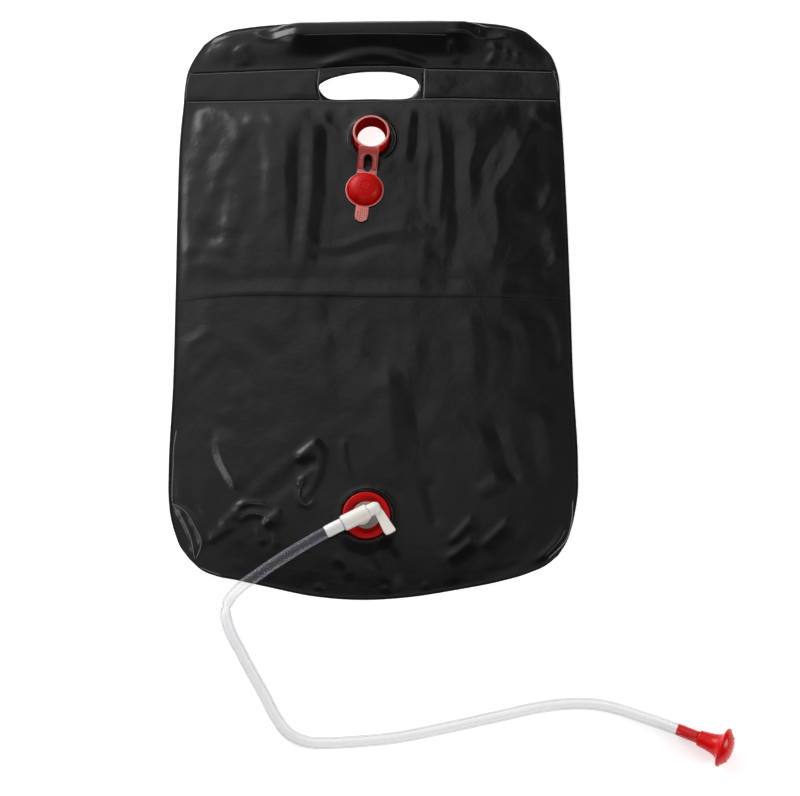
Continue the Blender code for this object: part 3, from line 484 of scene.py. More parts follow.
def hose_wall(radius):
    """Rings of one wall of the hose, stretched near its ends and squeezed together at its kink."""
    near_end = np.minimum(distances, hose_length - distances)
    stretched = ease((SPIGOT_STRETCH + 2 * MM - near_end) / (4 * MM))
    stretch = stretched * np.where(distances < hose_length / 2, END_SWELL, ROSE_SWELL)
    pinch = 1.0 - PINCH * np.exp(-(((distances - kink_at) / PINCH_LENGTH) ** 2))
    return sweep(hose_path, (radius + stretch) * pinch, HOSE_SIDES)


build = bmesh.new()
outer_verts = join_rings(build, hose_wall(HOSE_RADIUS))
inner_verts = join_rings(build, hose_wall(HOSE_BORE), flip=True)
for end in (0, -1):
    a, b = outer_verts[end], inner_verts[end]
    for k in range(HOSE_SIDES):
        n = (k + 1) % HOSE_SIDES
        build.faces.new((a[k], b[k], b[n], a[n]))
for ring, s in zip(outer_verts, distances):
    index = 1 if s < SPIGOT_STRETCH else 2 if s > hose_length - ROSE_STRETCH else 0
    for face in {face for vert in ring for face in vert.link_faces if index}:
        face.material_index = index
bmesh.ops.recalc_face_normals(build, faces=build.faces)
hose = object_from(build, "clear_hose", (clear_pvc, over_spigot, over_stem))
dress(hose, "bag", "clear_pvc", "hose")
print("hose faces:", len(hose.data.polygons))

# %% [markdown]
# ## The black film
# The front is one sheet of PVC film, welded to the back round its edge and along two lines under the handle. Empty,
# it lies nearly flat, but it keeps every fold of its packing. A cloth simulation would give folds in places of its
# own choosing, so this film is a fine grid whose height is written as a sum of simple shapes: a low swell, the
# sleeve over the tube, and then each crease of the photograph as a short line with a height and a width.

# %% Sizes of the bag
# in millimetres; a ring is x, y and radius, the tube is x, y, z, the sleeve's radius and half the tube's length
BAG_WIDTH = 397.0
BAG_LENGTH = 620.0
LOWER_WELD = 216.5
UPPER_WELD = 251.0
WELD_HALF = 2.5
NECK = (0.0, 169.0, 23.5)
OUTLET = (-7.0, -229.8, 26.3)
TUBE = (8.5, 299.1, 6.1, 6.4, 81.0)
FILM_TOP = 8.6
WELD_TOP = 1.3
# shares of half the length, and of half the width at the left and the right
SIDE_SHARES = np.array(
    (
        (-0.868, -0.885, 0.885), (-0.830, -0.930, 0.925), (-0.780, -0.962, 0.956), (-0.730, -0.984, 0.976),
        (-0.670, -0.996, 0.993), (-0.580, -1.000, 1.000), (-0.300, -0.992, 0.995), (0.000, -0.994, 0.999),
        (0.300, -0.998, 1.000), (0.580, -0.995, 0.996), (0.690, -0.984, 0.991), (0.760, -0.978, 0.990),
        (0.815, -0.965, 0.978), (0.870, -0.928, 0.945), (0.915, -0.885, 0.885),
    )
)
# shares of half the width, and of half the length at the foot and the top
END_SHARES = np.array(
    (
        (-0.885, -0.868, 0.915), (-0.830, -0.900, 0.944), (-0.760, -0.920, 0.966), (-0.660, -0.934, 0.979),
        (-0.500, -0.958, 0.990), (-0.300, -0.986, 0.998), (-0.050, -1.000, 1.000), (0.150, -0.994, 1.000),
        (0.400, -0.971, 0.999), (0.600, -0.947, 0.989), (0.740, -0.922, 0.974), (0.830, -0.896, 0.950),
        (0.885, -0.868, 0.915),
    )
)


def bag_place(across, along_bag):
    """Millimetres across and along the bag, from shares of 0 to 1."""
    low, high = SIDE_SHARES[0, 0], SIDE_SHARES[-1, 0]
    side = low + (high - low) * along_bag
    left = smooth_read(SIDE_SHARES, 1, side) * BAG_WIDTH / 2
    right = smooth_read(SIDE_SHARES, 2, side) * BAG_WIDTH / 2
    end = END_SHARES[0, 0] + (END_SHARES[-1, 0] - END_SHARES[0, 0]) * across
    bottom = smooth_read(END_SHARES, 1, end) * BAG_LENGTH / 2
    top = smooth_read(END_SHARES, 2, end) * BAG_LENGTH / 2
    return left + (right - left) * across, bottom + (top - bottom) * along_bag


corners = [bag_place(np.array(share), np.array(share)) for share in (0.0, 1.0)]
print("bag corners:", [tuple(round(float(v)) for v in corner) for corner in corners])

# %% [markdown]
# Film that was packed flat keeps facets, not waves: it is nearly plane between creases and bends only at them. So a
# fold here is a tent along a line, with its height, the widths of its two sides, and how round its crest is. A power
# gives the form of its sides: 1 is plane, and more lets them run out gently. The folds that can be told apart in the
# photograph are listed one by one, in millimetres.

# %% The folds that can be told apart
# height, width on the left of the line, width on its right, roundness of the crest, points, and the sides' power,
# which is FLAT_SIDES in the first table and HOLLOW_SIDES in the second where it isn't given
FLAT_SIDES, HOLLOW_SIDES = 1.0, 1.6
FOLDS = (
    # the line across the middle, and the one that goes with it
    (0.9, 15, 2.6, 0.6, ((-199, -3), (-142, 0), (-72, -1), (8, -3), (87, -4), (157, -5), (198, -7)), 1.6),
    (-0.4, 12, 14, 3.0, ((-199, 14), (-72, 15), (8, 13), (87, 12), (198, 9)), 1.6),
    # the slack round the filler: dark bands and the lit facets beside them
    (1.3, 13, 24, 0.5, ((-88, 208), (-89, 169), (-89, 113), (-88, 66), (-86, 23), (-88, 3))),
    (1.9, 15, 10, 0.5, ((-59, 203), (-61, 169), (-62, 135), (-63, 101), (-67, 74), (-70, 46), (-70, 12))),
    (-0.3, 9, 9, 1.5, ((-47, 192), (-46, 157), (-47, 124), (-51, 85), (-63, 62))),
    (0.6, 10, 6, 0.8, ((-59, 206), (-49, 196), (-41, 182), (-32, 162)), 1.2),
    (0.9, 8, 10, 0.8, ((-70, 60), (-50, 48), (-26, 50), (0, 61), (26, 66), (53, 64)), 1.2),
    (-0.8, 12, 8, 1.5, ((-73, 51), (-50, 40), (-22, 40), (4, 49), (38, 51)), 1.2),
    (0.9, 3, 11, 0.5, ((68, 206), (72, 173), (73, 128), (70, 94), (67, 69), (65, 60))),
    (0.6, 9, 4, 0.6, ((56, 193), (57, 156), (53, 122), (53, 95), (65, 65))),
    (1.1, 8, 9, 0.6, ((41, 207), (39, 179), (36, 156), (31, 136))),
    (-0.6, 6, 6, 1.0, ((48, 209), (47, 179), (46, 139))),
    (0.55, 8, 8, 0.8, ((33, 65), (49, 66), (61, 64), (66, 60))),
    (-1.3, 14, 9, 1.0, ((86, 204), (85, 156), (86, 111), (85, 67), (80, 12))),
    # long folds on the right
    (1.7, 9, 14, 0.6, ((176, 198), (164, 178), (152, 155), (142, 135), (129, 117), (123, 100), (121, 83))),
    (1.7, 7, 24, 0.8, ((127, 111), (127, 83), (128, 55), (122, 36), (112, 16))),
    (-1.2, 10, 12, 1.5, ((150, 208), (141, 187), (130, 167), (115, 144), (106, 118))),
    (1.0, 10, 14, 1.5, ((110, 190), (107, 156), (100, 128), (96, 100))),
    (1.0, 6, 10, 0.8, ((195, 132), (185, 110), (177, 92), (164, 79), (154, 64), (149, 44))),
    (1.0, 8, 8, 0.8, ((191, 81), (182, 64), (174, 48))),
    (1.0, 8, 8, 0.8, ((192, 44), (182, 29), (171, 16))),
    (0.9, 8, 10, 0.8, ((194, 191), (185, 187), (175, 196), (164, 206))),
    (-1.0, 12, 10, 1.5, ((164, 184), (169, 155), (168, 116), (158, 82))),
    (1.0, 10, 16, 1.5, ((139, -15), (152, -42), (155, -78), (152, -115))),
    (-1.0, 8, 8, 1.5, ((165, -15), (178, -47), (178, -86))),
    (-1.5, 10, 14, 0.8, ((114, -122), (120, -145), (128, -173), (139, -208))),
    (1.0, 10, 14, 2.0, ((163, -115), (171, -156), (176, -206))),
    (1.0, 12, 18, 1.5, ((93, -18), (100, -57), (95, -109))),
    # long folds on the left
    (0.8, 10, 18, 0.8, ((-124, 208), (-130, 186), (-143, 158), (-159, 129), (-164, 96), (-160, 58))),
    (0.7, 12, 9, 0.8, ((-117, 202), (-108, 169), (-104, 133), (-106, 96), (-111, 58))),
    (0.6, 10, 14, 1.0, ((-143, 136), (-134, 107), (-138, 78), (-145, 52))),
    (-0.5, 10, 10, 1.5, ((-153, 125), (-158, 97), (-156, 63), (-151, 41))),
    (0.6, 10, 12, 0.8, ((-192, 59), (-173, 50), (-151, 51), (-133, 41))),
    (0.5, 9, 12, 0.8, ((-189, 30), (-167, 34), (-147, 26), (-132, 10))),
    (0.5, 10, 9, 1.0, ((-123, 67), (-127, 40), (-122, 10))),
    (0.7, 9, 8, 0.8, ((-190, -55), (-175, -47), (-157, -34))),
    (0.5, 9, 9, 0.8, ((-183, -95), (-164, -72), (-147, -51))),
    (-0.5, 14, 12, 2.0, ((-145, -62), (-119, -93), (-114, -132))),
    (0.6, 14, 18, 2.0, ((31, -32), (43, -68), (34, -124))),
    (0.6, 14, 18, 2.0, ((-40, -31), (-50, -67), (-44, -123))),
    # the crumpled foot, left
    (1.8, 18, 6.5, 0.8, ((-152, -138), (-149, -160), (-143, -178), (-134, -193), (-122, -206))),
    (0.6, 8, 7, 1.0, ((-128, -220), (-121, -212), (-107, -197), (-90, -183), (-70, -163)), 1.1),
    (-0.8, 8, 9, 1.2, ((-110, -220), (-101, -211), (-85, -198), (-75, -185), (-66, -168)), 1.1),
    (1.1, 5, 6, 0.6, ((-150, -238), (-136, -228), (-128, -220), (-120, -211)), 1.1),
    (1.1, 4, 4, 0.6, ((-139, -221), (-133, -219), (-123, -216), (-114, -216), (-99, -219)), 1.1),
    (1.2, 5, 5, 0.6, ((-132, -236), (-128, -231), (-119, -226), (-109, -227), (-99, -232), (-95, -242)), 1.1),
    (2.6, 8.5, 24, 0.5, ((-76, -176), (-64, -164), (-52, -152)), 1.6),
    (1.8, 6.5, 16, 0.5, ((-74, -199), (-63, -189), (-54, -180)), 1.6),
    (1.6, 6.0, 14, 0.5, ((-106, -240), (-97, -231), (-88, -222)), 1.6),
    (1.2, 5, 6, 0.8, ((-54, -158), (-50, -177), (-55, -193), (-62, -205), (-73, -219)), 1.1),
    (1.0, 4, 4, 0.8, ((-65, -188), (-71, -203), (-72, -213), (-65, -219), (-52, -211)), 1.1),
    (-1.1, 8, 8, 1.5, ((-60, -168), (-62, -190), (-72, -208)), 1.1),
    (1.1, 5, 6, 1.0, ((-30, -150), (-27, -180), (-20, -196)), 1.1),
    (1.4, 4, 6, 0.8, ((-196, -210), (-183, -231), (-174, -251), (-170, -272)), 1.1),
    (1.1, 5, 4, 0.8, ((-195, -212), (-176, -229), (-165, -251), (-168, -266)), 1.1),
    (-1.1, 7, 7, 1.5, ((-190, -222), (-180, -243), (-171, -262)), 1.1),
    (0.9, 6, 6, 1.0, ((-161, -254), (-145, -242), (-130, -235)), 1.1),
    (0.8, 5, 5, 1.0, ((-95, -228), (-92, -262)), 1.1),
    (0.8, 5, 5, 1.0, ((-112, -236), (-104, -258)), 1.1),
    # the foot, middle and right
    (1.7, 5.6, 13, 0.5, ((70, -258), (84, -244), (98, -230)), 1.6),
    (1.8, 5.8, 13, 0.5, ((68, -272), (84, -262), (98, -250)), 1.6),
    (1.8, 6.2, 14, 0.5, ((100, -262), (116, -248), (134, -232)), 1.6),
    (1.0, 8, 8, 2.0, ((95, -212), (115, -201), (138, -191)), 1.1),
    (2.2, 24, 46, 2.0, ((12, -66), (14, -110), (18, -160), (22, -212))),
    (-1.4, 9, 9, 1.5, ((50, -190), (57, -215), (60, -245)), 1.1),
    (1.0, 7, 8, 1.5, ((68, -262), (72, -285), (76, -300)), 1.1),
    (1.1, 5, 6, 1.0, ((-2, -258), (8, -278), (14, -300)), 1.1),
    (-1.5, 7, 7, 1.5, ((6, -250), (18, -273), (23, -298)), 1.1),
    (1.1, 6, 6, 1.0, ((-40, -268), (-26, -277), (-22, -292)), 1.1),
    (1.2, 4, 4, 1.0, ((9, -297), (16, -309)), 1.1),
    (1.2, 4, 4, 1.0, ((47, -294), (54, -306)), 1.1),
    (0.9, 4, 4, 1.0, ((-54, -294), (-48, -305)), 1.1),
    (1.1, 7, 5, 0.8, ((188, -236), (180, -251), (164, -267), (150, -276)), 1.1),
    # gathers under the welded band
    (0.5, 8, 8, 1.0, ((-153, 211), (-140, 183), (-135, 161))),
    (0.5, 7, 7, 1.0, ((-113, 212), (-98, 181))),
    (0.4, 6, 6, 1.0, ((-27, 210), (-25, 194))),
    (0.5, 8, 9, 1.0, ((138, 208), (153, 160))),
    (0.4, 7, 7, 1.0, ((-178, 209), (-172, 175))),
)
SLEEVE_FOLDS = (
    (1.6, 6, 5, 1.2, ((-124, 300), (-114, 290), (-105, 288), (-95, 289), (-79, 294), (-68, 298))),
    (1.2, 7, 6, 1.5, ((-100, 291), (-91, 295), (-84, 291))),
    (1.5, 13, 14, 3.5, ((-141, 282), (-134, 269), (-130, 257))),
    (-0.6, 6, 6, 1.0, ((-147, 280), (-147, 265), (-149, 254))),
    (1.6, 5, 4, 0.8, ((76, 293), (92, 292), (101, 292), (107, 289), (113, 285))),
    (1.8, 4, 4, 0.8, ((108, 300), (115, 296), (113, 286))),
    (1.7, 5, 4, 0.8, ((112, 286), (127, 287), (137, 288), (147, 292))),
    (1.0, 4, 4, 0.8, ((157, 297), (167, 291), (175, 283))),
    (2.2, 5, 6, 1.2, ((85, 284), (84, 272), (87, 265), (92, 256))),
    (2.4, 8, 5, 1.2, ((120, 276), (130, 275), (128, 266), (124, 259), (125, 250))),
    (1.5, 5, 5, 1.5, ((141, 275), (144, 260))),
    (1.6, 6, 6, 1.5, ((154, 271), (153, 256))),
    (3.0, 7, 9, 1.0, ((-68, 250), (-44, 259), (-22, 266), (0, 268.5), (22, 267), (45, 260), (69, 250)), 1.0),
)
print("folds:", len(FOLDS), "and", len(SLEEVE_FOLDS), "in the sleeve")


# %% Adding the folds up
SWAY = 0.9
SWAY_SCALE = 0.035
END_FADE = 0.25


def ripple(x, y, scale, seed, stretch=1.0):
    """Smooth noise between about -1 and 1."""
    spots = zip(x.ravel() * scale, y.ravel() * scale * stretch)
    return np.array([noise.noise(Vector((a, b, seed))) for a, b in spots]).reshape(x.shape)


def smooth_line(points, step=5.0):
    """A smooth line of points a few millimetres apart."""
    given = [Vector((x, y, 0.0)) for x, y in points]
    path = smooth_path(given, max(3, int(along(given)[-1] / step)))
    return np.array([(p.x, p.y) for p in path])


def fold_height(x, y, fold, usual_power):
    """The height that one fold adds at every point. It fades out over a quarter of its line at both ends."""
    height, left, right, crest, points, power = (*fold, usual_power)[:6]
    line = smooth_line(points)
    total = np.zeros(x.shape)
    reach = max(left, right) + 1
    near = (x > line[:, 0].min() - reach) & (x < line[:, 0].max() + reach)
    near &= (y > line[:, 1].min() - reach) & (y < line[:, 1].max() + reach)
    px, py = x[near], y[near]
    close = np.full(px.shape, 1e9)
    at = np.zeros(px.shape)
    side = np.zeros(px.shape)
    for i, ((ax, ay), (bx, by)) in enumerate(zip(line, line[1:])):
        dx, dy = bx - ax, by - ay
        t = np.clip(((px - ax) * dx + (py - ay) * dy) / max(1e-9, dx * dx + dy * dy), 0.0, 1.0)
        away = np.hypot(px - ax - t * dx, py - ay - t * dy)
        nearer = away < close
        close = np.where(nearer, away, close)
        at = np.where(nearer, (i + t) / (len(line) - 1), at)
        side = np.where(nearer, dx * (py - ay) - dy * (px - ax), side)
    width = np.where(side > 0, left, right)
    slack = np.clip(1.0 - (np.hypot(close, crest) - crest) / width, 0.0, 1.0)
    fade = ease(at / END_FADE) * ease((1.0 - at) / END_FADE)
    total[near] = height * fade * slack**power
    return total


def add_folds(x, y, folds, usual_power):
    """All the folds of a list, on slightly wandering lines."""
    sway_x, sway_y = (SWAY * ripple(x, y, SWAY_SCALE, seed) for seed in (31.0, 47.0))
    total = np.zeros(x.shape)
    for fold in folds:
        total += fold_height(x + sway_x, y + sway_y, fold, usual_power)
    return total


# %% [markdown]
# Between those folds the film has many small facets that nobody could list. They come from one seeded set of random
# tents. In the upper half they run mostly along the bag, where it hangs from its handle, and in the foot every way.

# %% The small facets
SEED = 20
SMALL_COUNT = 200
SMALL_SIDES = 1.2
FOOT_TOP = -110
chance = np.random.default_rng(SEED)


def random_folds(count):
    """A list of short folds in random places. The random numbers are drawn in a fixed order."""
    made = []
    for _ in range(count):
        x, y = chance.uniform(-190, 190), chance.uniform(-295, 212)
        spread = 0.40 if y > FOOT_TOP else 1.1
        turn = math.pi / 2 + chance.normal(0.0, spread)
        half = chance.uniform(22, 75) * (1.0 if y > FOOT_TOP else 0.45)
        bend = chance.normal(0.0, 0.18) * half
        dx, dy = math.cos(turn) * half, math.sin(turn) * half
        points = ((x - dx, y - dy), (x - dy / half * bend, y + dx / half * bend), (x + dx, y + dy))
        height = chance.uniform(0.15, 0.55) * (1 if chance.random() < 0.55 else -1) * (1.0 if y > 0 else 0.75)
        left, right = chance.uniform(8, 26, 2)
        made.append((height, left, right, chance.uniform(0.8, 2.5), points))
    return made


SMALL_FOLDS = random_folds(SMALL_COUNT)
print("small folds:", len(SMALL_FOLDS))

# %% [markdown]
# The grid of the film is finer where the film bends most: round the tube and next to the edge. Past the top of the
# tube its rows go round the tube's outer side and end in the narrow flat weld, so the film never turns under itself.

# %% The film's grid
GRID_STEP = 2.5
EDGE_CELLS = (0.0, 1.2, 2.4, 3.6, 4.8)
SLEEVE_ROWS, SLEEVE_LENGTH = 12, 12.0
WRAP_ROWS = 8


def stations(length):
    """Places from one edge to the other, closer together near both edges."""
    inner = EDGE_CELLS[-1]
    middle = np.linspace(inner, length - inner, int((length - 2 * inner) / GRID_STEP))
    return np.array(sorted({*EDGE_CELLS[:-1], *middle.tolist(), *(length - e for e in EDGE_CELLS[:-1])}))


tube_x, tube_y, tube_z, sleeve_r, tube_half = TUBE
tube_row = BAG_LENGTH / 2 + tube_y
body_rows = [r for r in stations(BAG_LENGTH) if r < tube_row - SLEEVE_LENGTH]
body_rows += list(np.linspace(tube_row - SLEEVE_LENGTH, tube_row, SLEEVE_ROWS))
columns = stations(BAG_WIDTH) / BAG_WIDTH
rows = np.array(body_rows) / BAG_LENGTH
wrap = np.linspace(0.0, math.pi / 2, WRAP_ROWS + 1)[1:]
flat_rows = (3.9, 2.6, 1.3, 0.0)
print("film grid:", len(columns), "by", len(rows) + len(wrap) + len(flat_rows))

# %% [markdown]
# The height has two parts. Below the lower weld the film swells a little between its welds and lies flat over the
# fittings' flanges, and the folds are calmed at the edges and next to the fittings. Above the welds the sleeve lies
# nearly flat over the tube up to a lip, and falls from there to the upper weld.

# %% The film's height
CAP_MIDDLE = (-7.2, 110.5, 16.0)
EDGE_WELD = 4.0
SIDE_REACH, FOOT_REACH, HEAD_REACH = 120.0, 95.0, 34.0
PAD_SLOPES, CALM_SLOPES, RING_SLOPES = (22.0, 26.0), (8.0, 8.0), (1.8, 1.8)
RING_LIFT = 0.7
CALM_EDGE, CALM_REACH = 3.0, 9.0
CAP_CALM, CAP_SLOPE = 0.75, 14.0
FILM_GAP = 0.5
SLEEVE_RUN_OUT = 34.0
LIP_Y, LIP_FALL, LIP_DROP = 289.0, 0.45, 0.8
LANDING_LIFT, LANDING_SOFT = 0.3, 1.2
SLACK, SLACK_RISE, SLACK_SIDE = 2.4, 30.0, 26.0
SLEEVE_FOLD_SHARE, DEEPEST = 0.8, -0.8
CROWN = tube_z + sleeve_r + FILM_GAP


def outline_distance(x, y):
    """How far a point is from the nearest side and from the foot, in millimetres."""
    up = np.clip(2 * y / BAG_LENGTH, SIDE_SHARES[0, 0], SIDE_SHARES[-1, 0])
    across = np.clip(2 * x / BAG_WIDTH, END_SHARES[0, 0], END_SHARES[-1, 0])
    left, right = (smooth_read(SIDE_SHARES, k, up) * BAG_WIDTH / 2 for k in (1, 2))
    return np.minimum(x - left, right - x), y - smooth_read(END_SHARES, 1, across) * BAG_LENGTH / 2


def swell(distance, reach):
    """0 at a weld, rising steeply and then levelling off, like slack film with some air under it."""
    t = np.clip(distance / reach, 0.0, 1.0)
    return 1.0 - (1.0 - t) ** 2.2


def pad_share(x, y, ring, slope):
    """1 over a fitting's flange, 0 away from it."""
    return 1.0 - ease((np.hypot(x - ring[0], y - ring[1]) - ring[2] - 1.0) / slope)


def pads(x, y, slopes):
    """The share of the filler and the outlet together."""
    return np.maximum(pad_share(x, y, NECK, slopes[0]), pad_share(x, y, OUTLET, slopes[1]))


def body_height(x, y):
    """The top of the film below the lower weld."""
    side, foot = outline_distance(x, y)
    head = LOWER_WELD - WELD_HALF - y
    puff = swell(side - EDGE_WELD, SIDE_REACH) * swell(foot - EDGE_WELD, FOOT_REACH) * swell(head, HEAD_REACH)
    low = WELD_TOP + (FILM_TOP - WELD_TOP) * np.maximum(puff, pads(x, y, PAD_SLOPES))
    calm = ease((side - CALM_EDGE) / CALM_REACH) * ease((foot - CALM_EDGE) / CALM_REACH) * ease(head / 6.0)
    calm *= 1.0 - pads(x, y, CALM_SLOPES)
    calm *= 1.0 - CAP_CALM * pad_share(x, y, CAP_MIDDLE, CAP_SLOPE)
    folds = add_folds(x, y, FOLDS, FLAT_SIDES) + add_folds(x, y, SMALL_FOLDS, SMALL_SIDES)
    small = 0.5 * ripple(x, y, 0.018, 3.1, 0.6) + 0.18 * ripple(x, y, 0.06, 7.7)
    return np.maximum(WELD_TOP, low + RING_LIFT * pads(x, y, RING_SLOPES) + calm * (folds + small))


def sleeve_share(x):
    """1 over the tube, falling to 0 past the ends of its bulge."""
    return 1.0 - ease((np.abs(x - tube_x) - tube_half - 1.1) / SLEEVE_RUN_OUT)


def drape(y):
    """How high the sleeve stands over its weld: nearly flat from the tube to a lip, then falling."""
    flat = CROWN - LIP_DROP * np.square(np.clip((tube_y - y) / (tube_y - LIP_Y), 0.0, 1.0))
    slope = CROWN - LIP_DROP - LIP_FALL * (LIP_Y - y)
    low = WELD_TOP + LANDING_LIFT
    sink = low + LANDING_SOFT * np.log1p(np.exp((slope - low) / LANDING_SOFT))
    return np.where(y > LIP_Y, flat, np.minimum(sink, flat)) - WELD_TOP


def head_height(x, y):
    """The top of the film above the lower weld, up to the top of the tube."""
    start = UPPER_WELD + WELD_HALF
    rise = ease((y - start) / 8.0)
    side = outline_distance(x, y)[0]
    over = sleeve_share(x)
    calm = rise * ease((side - CALM_EDGE) / 8.0) * (1.0 - ease((y - tube_y + 14.0) / 8.0) * over)
    folds = SLEEVE_FOLD_SHARE * add_folds(x, y, SLEEVE_FOLDS, HOLLOW_SIDES) + 0.5 * ripple(x, y, 0.03, 5.0)
    slack = SLACK * ease((y - start) / SLACK_RISE) * ease((side - CALM_EDGE) / SLACK_SIDE) * (1.0 - over)
    band = ease((y - LOWER_WELD - 2.0) / 6.0) * ease((UPPER_WELD - 2.0 - y) / 6.0)
    loose = 0.45 + 0.9 * ripple(x, y, 0.022, 12.0) + 0.35 * ripple(x, y, 0.06, 14.0)
    loose = band * np.maximum(0.0, loose)
    return WELD_TOP + drape(y) * rise * over + calm * (np.maximum(DEEPEST, folds) + slack) + loose


print("height at the middle:", round(float(body_height(np.array([0.0]), np.array([-100.0]))[0]), 2), "mm")

# %% Lay the film out
MOST_FALL = 1.3
FLAT_LENGTH = 4.2


def film_grid():
    """Places of every vertex of the film's top, in millimetres: the body, the wrap round the tube, the flat weld."""
    x, y = bag_place(*np.meshgrid(columns, rows))
    z = np.where(y < LOWER_WELD, body_height(x, y), head_height(x, y))
    top = bag_place(np.array(0.5 + tube_x / BAG_WIDTH), np.array(1.0))[1]
    edge_x, edge_y = bag_place(columns, np.ones_like(columns))
    fall = np.clip(top - edge_y, 0.0, MOST_FALL)
    share = sleeve_share(edge_x)
    last = z[-1]
    extra = []
    for angle in wrap:
        below = top - tube_y - sleeve_r * math.sin(angle) - fall
        wall = tube_z + (sleeve_r + FILM_GAP) * math.cos(angle)
        drop = ease(angle / (math.pi / 2))
        px, py = bag_place(columns, 1.0 - below / BAG_LENGTH)
        extra.append((px, py, share * wall + (1 - share) * (last + (WELD_TOP - last) * drop)))
    for below in flat_rows:
        px, py = bag_place(columns, 1.0 - below * (1 - fall / FLAT_LENGTH) / BAG_LENGTH)
        extra.append((px, py, np.full(len(columns), WELD_TOP)))
    return [np.vstack([body, *more]) for body, more in zip((x, y, z), zip(*extra))]


film_x, film_y, film_z = film_grid()
print("film height from", round(float(film_z.min()), 2), "to", round(float(film_z.max()), 2), "mm")

# %% [markdown]
# The three openings are cut without a Boolean. Faces inside an outline go, and the vertices left on the rim of the
# gap move onto the outline. That keeps the grid clean, and the film stays one even sheet that Solidify can thicken.

# %% Holes
HOLE_SHARES = (
    (1.00, 0.00), (0.93, 0.42), (0.77, 0.68), (0.50, 0.94), (0.20, 1.00), (-0.10, 0.98), (-0.41, 0.86),
    (-0.75, 0.55), (-0.94, 0.22), (-1.00, -0.06), (-0.97, -0.40), (-0.88, -0.76), (-0.74, -0.96),
    (-0.45, -1.00), (0.00, -0.97), (0.50, -1.00), (0.80, -0.93), (0.93, -0.60), (0.99, -0.28),
)
HOLE_MIDDLE = (-2.5, (LOWER_WELD + UPPER_WELD) / 2)
HOLE_HALF = (52.0, 16.0)
HOLE_MARGIN = 4


def grip_outline(count=160):
    """The grip hole's outline as a closed smooth line."""
    turns = len(HOLE_SHARES)
    laps = np.arange(-3, turns + 4)
    shares = np.array(HOLE_SHARES)[laps % turns]
    table = np.column_stack([laps, shares * HOLE_HALF]).astype(float)
    at = np.arange(count) * turns / count
    return np.column_stack([HOLE_MIDDLE[k] + smooth_read(table, k + 1, at) for k in (0, 1)])


def ring_outline(x, y, radius, count=120):
    """A circle as a closed line."""
    turn = np.arange(count) * math.tau / count
    return np.column_stack([x + radius * np.cos(turn), y + radius * np.sin(turn)])


def inside(outline, px, py):
    """Whether a point is inside a closed line."""
    a, b = outline, np.roll(outline, -1, axis=0)
    crosses = (a[:, 1] > py) != (b[:, 1] > py)
    with np.errstate(divide="ignore", invalid="ignore"):
        at = a[:, 0] + (py - a[:, 1]) / (b[:, 1] - a[:, 1]) * (b[:, 0] - a[:, 0])
    return bool(np.count_nonzero(crosses & (px < at)) % 2)


def nearest_on(outline, px, py):
    """The nearest point of a closed line."""
    a, b = outline, np.roll(outline, -1, axis=0)
    d = b - a
    t = np.clip(((px - a[:, 0]) * d[:, 0] + (py - a[:, 1]) * d[:, 1]) / np.maximum(1e-9, (d**2).sum(1)), 0, 1)
    q = a + d * t[:, None]
    return q[np.argmin(np.hypot(q[:, 0] - px, q[:, 1] - py))]


def open_hole(build, outline):
    """Removes the faces inside an outline and fits the rim to it."""
    low, high = outline.min(0) - HOLE_MARGIN, outline.max(0) + HOLE_MARGIN
    gone = []
    for face in build.faces:
        c = face.calc_center_median() / MM
        if low[0] < c.x < high[0] and low[1] < c.y < high[1] and inside(outline, c.x, c.y):
            gone.append(face)
    rim = {v for f in gone for v in f.verts}
    bmesh.ops.delete(build, geom=gone, context="FACES")
    for vert in rim:
        if vert.is_valid and vert.link_faces:
            vert.co.xy = nearest_on(outline, vert.co.x / MM, vert.co.y / MM) * MM


# %% The front film
EDGE_BAND = 2
FILM_THICKNESS = 0.35
NECK_OPENING, OUTLET_OPENING = 18.2, 23.0


def film_object(name, grid, finishes, outlines, thickness):
    """A film from its grid, with its holes, thickened downwards. The cells next to the edge take the last finish."""
    build = bmesh.new()
    verts = [[build.verts.new(Vector(p) * MM) for p in zip(*line)] for line in zip(*grid)]
    last_row, last_column = len(verts) - 2, len(verts[0]) - 2
    for j in range(last_row + 1):
        for i in range(last_column + 1):
            face = build.faces.new((verts[j][i], verts[j][i + 1], verts[j + 1][i + 1], verts[j + 1][i]))
            if min(i, j, last_column - i, last_row - j) < EDGE_BAND:
                face.material_index = len(finishes) - 1
    for outline in outlines:
        open_hole(build, outline)
    made = object_from(build, name, finishes)
    solid = made.modifiers.new("film", "SOLIDIFY")
    solid.thickness = thickness * MM
    solid.offset = -1.0
    return made


grip = grip_outline()
openings = [grip, ring_outline(*NECK[:2], NECK_OPENING), ring_outline(*OUTLET[:2], OUTLET_OPENING)]
front = film_object("front_film", (film_x, film_y, film_z), (black_film, film_edge), openings, FILM_THICKNESS)
dress(front, "bag", "black_film", "front_panel")
print("front film faces:", len(front.data.polygons))

# %% [markdown]
# ## Weld beads and creases, with painted highlights and shade
# Where two films are welded, a fine bead of soft plastic is pressed out on both sides of the electrode's line. The
# hairline of light along it is painted, as a light grey bead, and the dark groove beside it is a black strip of
# painted shade. Sharp creases in PVC turn slightly white as well, and their lighter strips also paint the highlight
# on the crests. A few folds of the foot and an arc round the filler get light grey beads of painted highlight too.
# All are
# thin strips that follow the film: each point is dropped onto the film's mesh from above.

# %% Lines that show as hairlines
# half width, height and points of each bead; creases and grooves have one height each
CREASE_HEIGHT, GROOVE_SHADE_HEIGHT = 0.12, 0.14
